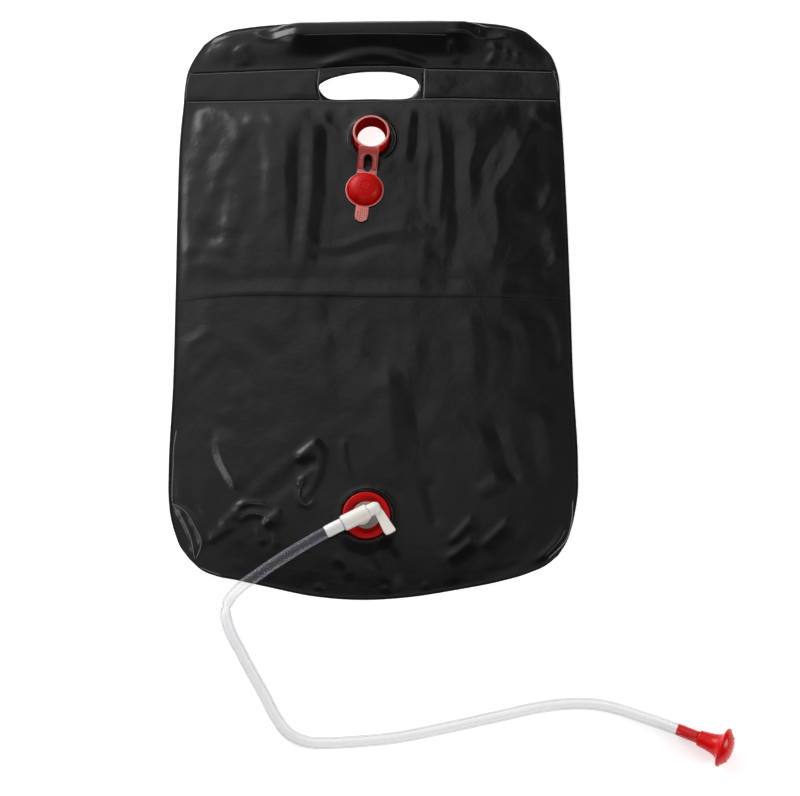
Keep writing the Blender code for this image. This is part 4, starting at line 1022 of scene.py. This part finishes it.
# the beads are painted light grey as painted highlight, and the grooves black as painted shade
HIGHLIGHT_BEADS = (
    (0.45, 0.30, ((-192, 216.4), (-126, 216.5), (-74, 217), (-53, 216.6), (-27, 215.8), (-3, 215.5), (25, 216.1),
                  (52, 217.3), (76, 217.6), (113, 216.6), (155, 215.2), (193, 214))),
    (0.45, 0.30, ((-188, 248.8), (-137, 250.5), (-85, 252.3), (-56, 252.9))),
    (0.30, 0.25, ((-54, 253.4), (-27, 255.4), (-1, 256), (30, 255.5), (55, 252.7))),
    (0.45, 0.30, ((56, 251.7), (104, 250.3), (156, 248.6), (189, 247.2))),
    (0.42, 0.30, ((-54.2, 252), (-55.6, 234), (-54.1, 224), (-51.9, 217.5))),
    (0.70, 0.40, ((56.3, 252), (55.8, 238), (55.4, 228), (54.5, 217.5))),
    (0.42, 0.30, ((-189.5, 249), (-190.8, 245), (-192.4, 235), (-193, 219))),
    (0.42, 0.30, ((191.1, 248), (191.7, 244), (194.3, 236), (195, 224))),
    (0.60, 0.30, ((-192, -140), (-194, -156), (-194.2, -181), (-194.5, -201), (-194, -213))),
    (0.50, 0.30, ((-165, -277), (-156, -281), (-145, -285))),
    (0.60, 0.30, ((192, -215), (190, -235), (188, -244), (184, -254), (176, -263), (166, -272))),
    (0.55, 0.40, ((-194, -214), (-183, -231), (-174.5, -251), (-171, -269))),
    (0.50, 0.40, ((-194, -214), (-185, -219), (-176, -229), (-170, -241), (-165, -251), (-166.6, -261),
                  (-170, -269))),
    (0.90, 0.60, ((-55.2, 253), (-53.6, 250.5))),
    (0.90, 0.60, ((55.4, 252.6), (57.6, 250.8))),
    (0.90, 0.60, ((52.5, 216.8), (56.5, 218.2))),
    (0.80, 0.60, ((-190.4, 250.4), (-188.2, 248))),
    (0.80, 0.60, ((190.6, 249), (193.2, 246))),
)
# lighter strips on creases: the slight whitening of creased PVC, and a painted highlight on their crests
CREASES = (
    (0.60, ((-71, 288.4), (-32, 289.0), (4, 289.1), (41, 288.4), (80, 287.1))),
    (0.25, ((-136, -228), (-128, -220), (-122, -212))),
    (0.47, ((-133, -219), (-123, -216), (-114, -216.5), (-103, -217.6))),
    (0.52, ((-128, -231), (-118, -226), (-109, -227), (-99, -231))),
    (0.37, ((-67, -193), (-71, -203), (-72, -213), (-65, -219), (-57, -213))),
    (0.37, ((-72, -168), (-66, -162), (-59, -157))),
    (0.42, ((-121, 295), (-114, 290), (-105, 288), (-95, 289), (-87, 291), (-71, 296))),
    (0.57, ((80, 293), (92, 292.5), (101, 292), (107, 289), (112.5, 285.5))),
    (0.47, ((110, 298), (115, 296), (113, 291))),
    (0.52, ((112.5, 286), (127, 286.7), (137, 287.7), (144, 290.7))),
    (0.37, ((159, 295), (167, 291), (173, 284))),
    (0.42, ((184, -243), (180, -251), (173, -260), (163, -270))),
)
# black strips of painted shade, laid where the grooves are dark
GROOVE_SHADES = (
    (1.20, ((-192, 218), (-126, 218.2), (-74, 218.7), (-54, 218.4))),
    (1.20, ((56, 219.1), (76, 219.3), (113, 218.2), (155, 216.8), (193, 215.6))),
    (1.30, ((-188, 250.6), (-137, 252.3), (-85, 254), (-57, 254.6))),
    (1.30, ((-54, 255.2), (-27, 257.3), (-1, 257.9), (30, 257.4), (55, 254.6))),
    (1.30, ((57, 253.6), (104, 252.2), (156, 250.5), (189, 249.1))),
    (1.10, ((53.4, 250), (53.2, 238), (52.9, 228), (52.4, 219))),
    (0.80, ((-56.4, 250), (-57.8, 234), (-56.3, 224), (-54.6, 219))),
    (0.35, ((-196, -5.4), (-142, -2.4), (-72, -3.4), (8, -5.4), (87, -6.4), (157, -7.4), (196, -9.4))),
)


def arc(ring, away, start, end):
    """Points round a fitting, from one angle to another, in degrees."""
    angles = np.radians(np.linspace(start, end, 16))
    return [(ring[0] + away * math.cos(a), ring[1] + away * math.sin(a)) for a in angles]


STRIP_SINK = 0.08
STRIP_STEP = 1.6
# arcs round the fittings: a painted highlight on the lit side, lighter crease lines, and black strips of painted
# shade
HIGHLIGHT_BEADS += ((0.35, 0.30, arc(NECK, 24.6, -40, 80)),)
CREASES += ((0.35, arc(NECK, 27.2, -30, 60)), (0.40, arc(NECK, 24.6, 130, 215)), (0.35, arc(OUTLET, 27.8, 20, 130)))
GROOVE_SHADES += ((0.9, arc(NECK, 25.9, -60, 120)), (0.8, arc(OUTLET, 26.6, -20, 160)))
print("strips:", len(HIGHLIGHT_BEADS) + len(CREASES) + len(GROOVE_SHADES))


drop_tree = BVHTree.FromPolygons([v.co for v in front.data.vertices], [f.vertices for f in front.data.polygons])


def drop(x, y):
    """The height of the film under a point, in millimetres."""
    hit = drop_tree.ray_cast(Vector((x * MM, y * MM, 0.1)), Vector((0.0, 0.0, -1.0)))[0]
    return hit.z / MM if hit else None


def strip(build, points, half_width, height, index):
    """A thin closed strip that follows the film along a line and tapers at both ends."""
    line = smooth_line(points, STRIP_STEP)
    rings = []
    for i, (x, y) in enumerate(line):
        ahead = line[min(i + 1, len(line) - 1)] - line[max(i - 1, 0)]
        ahead = ahead / max(1e-9, np.hypot(*ahead))
        side = np.array((-ahead[1], ahead[0]))
        share = min(1.0, 0.25 + 0.5 * min(i, len(line) - 1 - i))
        spots = [(x, y) + side * half_width * share * k for k in (-1, 0, 1)]
        floor_z = [drop(*s) for s in spots]
        if None in floor_z:
            continue
        (ax, ay), (mx, my), (bx, by) = spots
        rings.append([
            Vector((ax, ay, floor_z[0] - STRIP_SINK)) * MM,
            Vector((mx, my, max(floor_z[1], (floor_z[0] + floor_z[2]) / 2) + height * share)) * MM,
            Vector((bx, by, floor_z[2] - STRIP_SINK)) * MM,
        ])
    if len(rings) < 2:
        return
    made = join_rings(build, rings)
    build.faces.new(made[0])
    build.faces.new(made[-1][::-1])
    for ring in made:
        for vert in ring:
            for face in vert.link_faces:
                face.material_index = index


build = bmesh.new()
# finish 0 is the beads' painted highlight, 1 the grooves' painted shade, 2 the creases' whitening and painted
# highlight
for half_width, height, points in HIGHLIGHT_BEADS:
    strip(build, points, half_width, height, 0)
for half_width, points in CREASES:
    strip(build, points, half_width, CREASE_HEIGHT, 2)
for half_width, points in GROOVE_SHADES:
    strip(build, points, half_width, GROOVE_SHADE_HEIGHT, 1)
bmesh.ops.recalc_face_normals(build, faces=build.faces)
beads = object_from(build, "beads_with_painted_light", (bead_painted_highlight, groove_painted_shade, crease_whitening_and_highlight))
dress(beads, "bag", "black_film")
print("bead faces:", len(beads.data.polygons))

# %% [markdown]
# ## The back film
# The back is a white film of the same outline. It lies on the ground, so it is almost flat, and only its inside is
# seen, through the filler. It is the same grid with fewer rows and a very low ripple.

# %% Make the back film
BACK_COLUMNS, BACK_ROWS = 70, 110
BACK_LOW, BACK_HIGH = 0.36, 0.6
BACK_THICKNESS = 0.3

back_across, back_up = np.meshgrid(np.linspace(0, 1, BACK_COLUMNS), np.linspace(0, 1, BACK_ROWS))
back_x, back_y = bag_place(back_across, back_up)
back_side, back_foot = outline_distance(back_x, back_y)
back_z = 0.42 + 0.12 * ripple(back_x, back_y, 0.03, 21.0) * ease(back_side / 20.0) * ease(back_foot / 20.0)
back_z = np.clip(back_z, BACK_LOW, BACK_HIGH)
# the back film's glow is painted light that brightens it where it is seen down the filler's mouth
back = film_object("back_film", (back_x, back_y, back_z), (white_film,), [grip], BACK_THICKNESS)
dress(back, "bag", "white_film", "back_panel")
print("back film faces:", len(back.data.polygons))

# %% [markdown]
# ## Turned mouldings
# The filler, its plug, the outlet, the tap's barrel and the rose are all round parts. Each is a profile turned about
# an axis. Its corners are rounded first, because a sharp edge never catches the light the way moulded plastic does.


# %% Turning and rounding
ARC_STEPS = 4
CRISP_ANGLE = 0.7


def rounded(profile, radius):
    """The profile with an arc in place of each inner corner."""
    points = [Vector((r, z)) for r, z in profile]
    made = [points[0]]
    for before, corner, after in zip(points, points[1:], points[2:]):
        back, ahead = before - corner, after - corner
        reach = min(radius, 0.45 * back.length, 0.45 * ahead.length)
        start = corner + back.normalized() * reach
        end = corner + ahead.normalized() * reach
        for k in range(ARC_STEPS + 1):
            t = k / ARC_STEPS
            made.append(start.lerp(corner, t).lerp(corner.lerp(end, t), t))
    made.append(points[-1])
    return [(p.x, p.y) for p in made]


def turn_into(build, profile, steps, matrix, index=0, closed=False):
    """Adds a turned profile of (radius, height) in millimetres to a bmesh."""
    turns = [math.tau * k / steps for k in range(steps)]
    rings = []
    for r, z in profile:
        angles = turns if r >= 1e-6 else [0.0]
        places = [Vector((r * MM * math.cos(a), r * MM * math.sin(a), z * MM)) for a in angles]
        rings.append([build.verts.new(matrix @ place) for place in places])
    if closed:
        rings.append(rings[0])
    for a, b in zip(rings, rings[1:]):
        for k in range(steps):
            n = (k + 1) % steps
            corners = [a[k % len(a)], a[n % len(a)], b[n % len(b)], b[k % len(b)]]
            loop = [v for i, v in enumerate(corners) if v not in corners[:i]]
            if len(loop) > 2:
                build.faces.new(loop).material_index = index


def finished(build, name, finishes, body, slot, *nodes):
    """A finished moulding: edges that turn sharply stay crisp, the rest is shaded smooth."""
    bmesh.ops.recalc_face_normals(build, faces=build.faces)
    for edge in build.edges:
        if len(edge.link_faces) == 2 and edge.calc_face_angle(0.0) > CRISP_ANGLE:
            edge.smooth = False
    made = object_from(build, name, finishes)
    dress(made, body, slot, *nodes)
    return made


print("rounded square has", len(rounded([(0, 1), (1, 1), (1, 0)], 0.2)), "points")

# %% [markdown]
# ## The filler and its tethered plug
# Soft red PVC, moulded in one piece: a collar, a strap with a slot, and a plug with a pull tab. Thin parts of it let
# light through and look pink, thick parts are deep red. A paler pink on the rim, the flange's edge, the tab and the
# strap next to the plug is painted highlight, and a darker red inside the collar and round the foot of the dome is
# painted shade. The two halves of the strap meet at the hinge line.

# %% Sizes of the filler
FILLER_TURN = math.radians(-7.0)
HINGE = (-3.589, 139.770)
REACH = 29.45
CAP_FOOT = 9.6
FLANGE_TOP = 11.4
RIM_TOP = 24.5
STRAP_WIDTH, STRAP_THICK, STRAP_EDGE = 20.3, 1.6, 0.45
STRAP_MIDDLE, STRAP_RISE = 17.85, 11.5
STRAP_END = 13.0
HINGE_GAP = 0.15
SLOT_HALF, SLOT_UP, SLOT_DOWN = 4.3, 5.5, -9.5
FILLER_STEPS = 96
stand = Matrix.Translation((HINGE[0] * MM, HINGE[1] * MM, 0.0)) @ Matrix.Rotation(FILLER_TURN, 4, "Z")


def strap_top(y):
    """The strap's top between the plug's flange and the collar's rim, y from the hinge towards the collar."""
    t = max(-1.0, min(1.0, y / STRAP_RISE))
    return STRAP_MIDDLE + (RIM_TOP - FLANGE_TOP) / 2 * t * (3 - t * t) / 2


def slot_half(y):
    """Half the slot's width: straight, with a round end both ways."""
    past = max(y - SLOT_UP + SLOT_HALF, SLOT_DOWN + SLOT_HALF - y, 0.0)
    return math.sqrt(max(0.0, SLOT_HALF**2 - past**2))


def strap_half(build, y_start, y_end):
    """One half of the strap: two legs beside the slot, which join beyond its end."""
    slot_ends = {y for y in (SLOT_UP - 0.02, SLOT_DOWN + 0.02) if y_start < y < y_end}
    stations = sorted({y_start, y_end} | set(np.linspace(y_start, y_end, 40).tolist()) | slot_ends)
    for side in (-1, 1):
        rings = []
        for y in stations:
            inner = slot_half(y)
            outer = STRAP_WIDTH / 2 + 0.5 * max(0.0, (y - 6.0) / 8.0)
            top, e = strap_top(y), STRAP_EDGE
            low, lip = top - STRAP_THICK, inner + e * min(1.0, inner)
            ring = [(outer - e, top), (lip, top), (inner, top - e), (inner, low + e)]
            ring += [(lip, low), (outer - e, low), (outer, low + e), (outer, top - e)]
            rings.append([stand @ (Vector((side * x, y, z)) * MM) for x, z in ring])
        made = join_rings(build, rings, flip=side < 0)
        build.faces.new(made[0])
        build.faces.new(made[-1][::-1])


# %% The collar with its half of the strap
build = bmesh.new()
collar = [
    (14.4, 6.9), (16.2, RIM_TOP - 0.5), (16.8, RIM_TOP), (18.2, RIM_TOP), (18.9, RIM_TOP - 0.7), (18.9, 22.4),
    (17.8, 21.3), (17.8, 8.6), (23.5, 8.5), (23.5, 7.0),
]
collar_place = stand @ Matrix.Translation((0.0, REACH * MM, 0.0))
turn_into(build, rounded(collar, 0.5), FILLER_STEPS, collar_place, closed=True)
strap_half(build, HINGE_GAP, STRAP_END)
# painted light: the rim is painted pale pink as a highlight, and the collar's inside deep red as shade
for face in build.faces:
    local = stand.inverted() @ face.calc_center_median() / MM
    on_strap = local.y < REACH - 17.0 and local.z > 12.0
    away = math.hypot(local.x, local.y - REACH)
    on_rim = local.z > RIM_TOP - 0.62 and 16.5 < away < 18.5
    face.material_index = 1 if on_strap else 2 if on_rim else 3 if away < 16.6 else 0
RED_FINISHES = (red_soft, red_thin, red_painted_highlight, red_painted_shade)
neck = finished(build, "filler_collar", RED_FINISHES, "bag", "red_soft_pvc", "filler_neck")
print("collar faces:", len(neck.data.polygons))

# %% [markdown]
# The pull tab has a field of small pips for the fingers. They repeat, so Geometry Nodes sets them out: a grid of
# points, a pip on each with its own size from a fixed seed, and one material at the end. The group's inputs say how
# large the field is, how many pips it has and how they are shaped.


# %% A node group that sets out pips
def make_pip_group():
    """A grid of flat pips with a seeded variation in size."""
    group, given, end = new_group(
        "set_out_pips", "GeometryNodeTree",
        (
            ("Width", "Float", 0.008), ("Length", "Float", 0.010), ("Columns", "Int", 5), ("Rows", "Int", 6),
            ("Radius", "Float", 0.0007), ("Height", "Float", 0.0004), ("Seed", "Int", 4),
            ("Material", "Material", None),
        ),
        (("Geometry", "Geometry"),),
    )
    grid = add_node(
        group, "GeometryNodeMeshGrid", Size_X=given["Width"], Size_Y=given["Length"],
        Vertices_X=given["Columns"], Vertices_Y=given["Rows"],
    )
    pip = add_node(group, "GeometryNodeMeshUVSphere", Segments=12, Rings=8, Radius=1.0)
    size = group.nodes.new("FunctionNodeRandomValue")
    size.data_type = "FLOAT"
    smallest, largest, drawn = size.inputs[2], size.inputs[3], size.outputs[1]
    smallest.default_value, largest.default_value = 0.75, 1.15
    set_inputs(group, size, Seed=given["Seed"])
    wide, tall = (combine(group, "MULTIPLY", drawn, given[name]) for name in ("Radius", "Height"))
    squash = add_node(group, "ShaderNodeCombineXYZ", X=wide, Y=wide, Z=tall)
    spread = add_node(
        group, "GeometryNodeInstanceOnPoints", Points=grid.outputs["Mesh"], Instance=pip.outputs["Mesh"],
        Scale=squash.outputs["Vector"],
    )
    real = add_node(group, "GeometryNodeRealizeInstances", Geometry=spread.outputs["Instances"])
    paint = add_node(
        group, "GeometryNodeSetMaterial", Geometry=real.outputs["Geometry"], Material=given["Material"]
    )
    set_inputs(group, end, Geometry=paint.outputs["Geometry"])
    return group


PIPS = make_pip_group()


def pips(name, finish, **values):
    """A plain mesh of pips, made by the node group with its inputs set by identifier."""
    holder = bpy.data.objects.new(name, bpy.data.meshes.new(name))
    scene.collection.objects.link(holder)
    modifier = holder.modifiers.new("pips", "NODES")
    modifier.node_group = PIPS
    keys = {s.name: s.identifier for s in PIPS.interface.items_tree if s.in_out == "INPUT"}
    modifier[keys["Material"]] = finish
    for key, value in values.items():
        modifier[keys[key]] = value
    graph = bpy.context.evaluated_depsgraph_get()
    mesh = bpy.data.meshes.new_from_object(holder.evaluated_get(graph))
    bpy.data.objects.remove(holder, do_unlink=True)
    return mesh


tab_pips = pips(
    "tab_pips", red_soft, Width=0.0088, Length=0.0110, Columns=5, Rows=6, Radius=0.00095, Height=0.0009, Seed=4
)
print("tab pips:", len(tab_pips.vertices), "vertices")

# %% The plug with its flange, strap and tab
FLANGE_R = 19.4
TAB_HALF, TAB_LENGTH, TAB_START, TAB_LOW, TAB_HIGH = 6.55, 16.0, 16.0, 9.7, 11.2
PIPS_AWAY, PIPS_Z = 8.2, 11.25
RING_R, RING_Z = 4.9, 23.45

build = bmesh.new()
dome = (
    (0.0, 12.3), (5.0, 12.05), (9.6, 11.1), (13.1, 9.2), (14.8, 7.0), (15.45, 4.6), (15.75, 2.2), (15.85, 0.6),
    (16.2, 0.0), (17.2, -0.05), (18.9, -0.1), (FLANGE_R, -0.6),
)
plug = [(r, FLANGE_TOP + h) for r, h in dome] + [(FLANGE_R, CAP_FOOT), (0.0, CAP_FOOT)]
cap_place = stand @ Matrix.Translation((0.0, -REACH * MM, 0.0))
turn_into(build, rounded(plug, 1.4), FILLER_STEPS, cap_place)
ring = [(RING_R + 0.55 * math.cos(a), RING_Z + 0.4 * math.sin(a)) for a in (math.tau * k / 10 for k in range(10))]
turn_into(build, ring, 48, cap_place, closed=True)
strap_half(build, -STRAP_END, -HINGE_GAP)


def tab_outline(y_low, y_high, half):
    """A tab with a round end."""
    angles = [math.pi + math.pi * k / 16 for k in range(17)]
    end = [(half * math.cos(a), y_low + half + half * math.sin(a)) for a in angles]
    return [(-half, y_high), *end, (half, y_high)]


def slab_into(build, outline, low, high, edge, matrix):
    """A flat piece with softened edges, its outline in millimetres."""
    middle = Vector((sum(p[0] for p in outline), sum(p[1] for p in outline))) / len(outline)
    rings = []
    for inset, z in ((edge, low), (0.0, low + edge), (0.0, high - edge), (edge, high)):
        ring = []
        for x, y in outline:
            away = Vector((x, y)) - middle
            p = Vector((x, y)) - away.normalized() * inset
            ring.append(matrix @ (Vector((p.x, p.y, z)) * MM))
        rings.append(ring)
    made = join_rings(build, rings)
    build.faces.new(made[0][::-1])
    build.faces.new(made[-1])


tab = tab_outline(-REACH - FLANGE_R - TAB_LENGTH, -REACH - TAB_START, TAB_HALF)
slab_into(build, tab, TAB_LOW, TAB_HIGH, 0.4, stand)
tab_pips.transform(stand @ Matrix.Translation((0.0, (-REACH - FLANGE_R - PIPS_AWAY) * MM, PIPS_Z * MM)))
build.from_mesh(tab_pips)
# painted light: a ring at the dome's foot on its lower side is painted deep red as shade; the flange's edge, the
# strap next to the plug and the tab with its pips are painted pale pink as a highlight
for face in build.faces:
    local = cap_place.inverted() @ face.calc_center_median() / MM
    away = math.hypot(local.x, local.y)
    in_shade = 16.0 < away < 16.9 and local.y < 3.0
    face.material_index = 3 if in_shade else 0 if away < 18.3 else 2 if away < 22.5 or local.y < 0 else 1
cap = finished(build, "filler_plug", RED_FINISHES, "cap", "red_soft_pvc", "filler_cap")
print("plug faces:", len(cap.data.polygons))

# %% [markdown]
# ## The outlet and its tap
# A red dish is welded under the film. The white tap stands in it: a flat foot, a short stem, and a lying barrel with
# the hose's spigot behind and the key in front. The key's lever swings down beside the dish.

# %% The outlet dish
build = bmesh.new()
outlet_place = Matrix.Translation((OUTLET[0] * MM, OUTLET[1] * MM, 0.0))
dish = [
    (11.3, 9.2), (14.0, 9.2), (15.4, 9.5), (18.2, 12.3), (18.8, 13.0), (20.2, 13.2), (21.6, 13.2), (22.6, 12.4),
    (22.6, 8.6), (26.3, 8.5), (26.3, 7.0), (11.3, 7.0),
]
turn_into(build, rounded(dish, 0.5), 96, outlet_place, closed=True)
seat = finished(build, "outlet_dish", (red_soft,), "bag", "red_soft_pvc", "outlet_seat")
print("dish faces:", len(seat.data.polygons))

# %% The tap's body
TAP_TURN = math.radians(26.4)
tap = outlet_place @ Matrix.Rotation(TAP_TURN, 4, "Z")
barrel_place = tap @ Matrix.Translation((0.0, 0.0, 22.0 * MM))
lengthwise = barrel_place @ Matrix.Rotation(math.pi / 2, 4, "Y")
build = bmesh.new()
barrel = [
    (5.3, -12.0), (5.3, 1.7), (5.7, 2.0), (7.0, 2.0), (7.65, 1.4), (7.65, -23.6), (7.0, -24.8), (3.9, -24.8),
    (3.9, -38.3), (4.2, -38.3), (3.6, -41.3), (2.6, -41.3), (2.6, -12.0),
]
turn_into(build, rounded(barrel, 0.6), 64, lengthwise, closed=True)
# the foot takes the second finish: the white plastic in painted shade
foot = [(0.0, 12.2), (12.6, 12.2), (13.2, 11.8), (13.2, 10.6), (10.9, 10.6), (10.9, 4.0), (0.0, 4.0)]
turn_into(build, rounded(foot, 0.4), 64, tap, index=1)
stem = [(0.0, 16.0), (6.4, 16.0), (6.6, 13.2), (8.2, 12.0), (0.0, 11.9)]
turn_into(build, rounded(stem, 0.9), 48, tap @ Matrix.Translation((-4.6 * MM, 0.0, 0.0)))
valve = finished(build, "tap_body", (white_plastic, white_in_painted_shade), "bag", "white_plastic", "valve_body")
print("tap body faces:", len(valve.data.polygons))

# %% The tap's key
build = bmesh.new()
hub = [
    (0.0, 14.6), (2.7, 14.4), (4.6, 13.1), (5.8, 10.6), (6.0, 8.0), (6.0, 2.3), (5.0, 2.2), (5.0, 1.1), (4.0, 1.1),
    (4.0, -0.5), (5.0, -0.5), (5.0, -8.8), (4.0, -8.8), (4.0, -10.4), (5.0, -10.4), (5.0, -12.6), (0.0, -12.6),
]
turn_into(build, rounded(hub, 0.35), 56, lengthwise)
paddle = [
    (6.9, 0.0), (6.4, -25.6), (6.5, -27.0), (7.4, -28.4), (9.2, -28.8), (15.0, -28.8), (16.6, -28.6), (17.5, -27.4),
    (17.3, -25.6), (14.3, 0.0),
]
slab_into(build, paddle, -1.5, 1.5, 0.5, barrel_place)
key = finished(build, "tap_key", (white_plastic,), "key", "white_plastic", "valve_key")
print("tap key faces:", len(key.data.polygons))

# %% [markdown]
# ## The rose
# Hard, glossy red plastic: a spigot for the hose, a plain collar and a trumpet that ends in a rolled rim. The domed
# face is a second piece, pressed into the rim, with a ring pattern of small jets.

# %% The trumpet
ROSE_START = (0.2822, -0.4361, 0.00724)
ROSE_TURN, ROSE_RISE = math.radians(-25.2), math.radians(15.1)
COLLAR, LENGTH, COLLAR_R, ROSE_R = 16.6, 42.0, 7.25, 18.35
TRUMPET = (
    (0.96, 1.00), (1.00, 0.96), (0.97, 0.89), (0.74, 0.865), (0.45, 0.81), (0.27, 0.69), (0.16, 0.53), (0.085, 0.33),
    (0.02, 0.10), (0.00, 0.00),
)
INSIDE = ((-0.25, 0.20), (-0.07, 0.52), (0.09, 0.73), (0.30, 0.86), (0.70, 0.93))
rose_place = Matrix.Translation(ROSE_START) @ Matrix.Rotation(ROSE_TURN, 4, "Z")
rose_place = rose_place @ Matrix.Rotation(math.pi / 2 - ROSE_RISE, 4, "Y")


def horn(shares):
    """Points of the trumpet in millimetres."""
    return [(COLLAR_R + (ROSE_R - COLLAR_R) * r, COLLAR + (LENGTH - COLLAR) * s) for r, s in shares]


build = bmesh.new()
trumpet = [(17.45, 41.8)] + horn(TRUMPET) + [(3.9, 16.5), (3.9, 3.0), (4.2, 3.0), (3.6, 0.0), (2.6, 0.0), (2.6, 16.6)]
trumpet += horn(INSIDE) + [(15.85, 40.5), (17.4, 40.5)]
turn_into(build, rounded(trumpet, 1.2), 96, rose_place, closed=True)
rose = finished(build, "rose_trumpet", (red_hard,), "bag", "red_hard_plastic", "rose_body")
print("trumpet faces:", len(rose.data.polygons))

# %% The face and its jets
FACE_R, FACE_FOOT, FACE_BACK, FACE_RISE = 17.15, 41.7, 40.8, 7.4
JET_RINGS, JETS_MORE, JET_SPACING = 3, 6, 3.7
DOME = (
    (0.00, 1.00), (0.15, 0.99), (0.30, 0.955), (0.44, 0.89), (0.57, 0.80), (0.69, 0.67), (0.80, 0.50), (0.95, 0.16),
    (1.0, 0.0),
)
LIP = ((0.50, -0.5), (0.50, 0.05), (0.70, 0.14), (0.90, 0.05), (1.0, -0.6))
PIT = ((0.0, 0.03), (0.55, 0.03), (0.55, -0.1), (0.0, -0.1))

build = bmesh.new()
face_line = [(FACE_R * r, FACE_FOOT + FACE_RISE * h) for r, h in DOME] + [(FACE_R, FACE_BACK)]
face_line += [(FACE_R * r * 0.93, FACE_BACK + 6.7 * h) for r, h in DOME[::-1]]
turn_into(build, face_line, 96, rose_place)
dome_r, dome_h = zip(*DOME)
for ring_number in range(1, JET_RINGS + 1):
    away = ring_number * JET_SPACING
    height = FACE_FOOT + FACE_RISE * float(np.interp(away / FACE_R, dome_r, dome_h))
    for k in range(ring_number * JETS_MORE):
        angle = math.tau * k / (ring_number * JETS_MORE)
        middle = Vector((away * math.cos(angle), away * math.sin(angle), height)) * MM
        spot = rose_place @ Matrix.Translation(middle)
        turn_into(build, LIP, 10, spot, closed=True)
        # a small black disc closes each jet: painted shade where its hole is dark
        turn_into(build, PIT, 10, spot, index=1)
face = finished(build, "rose_face_piece", (red_hard, black_rubber), "bag", "red_hard_plastic", "rose_face")
print("face faces:", len(face.data.polygons))
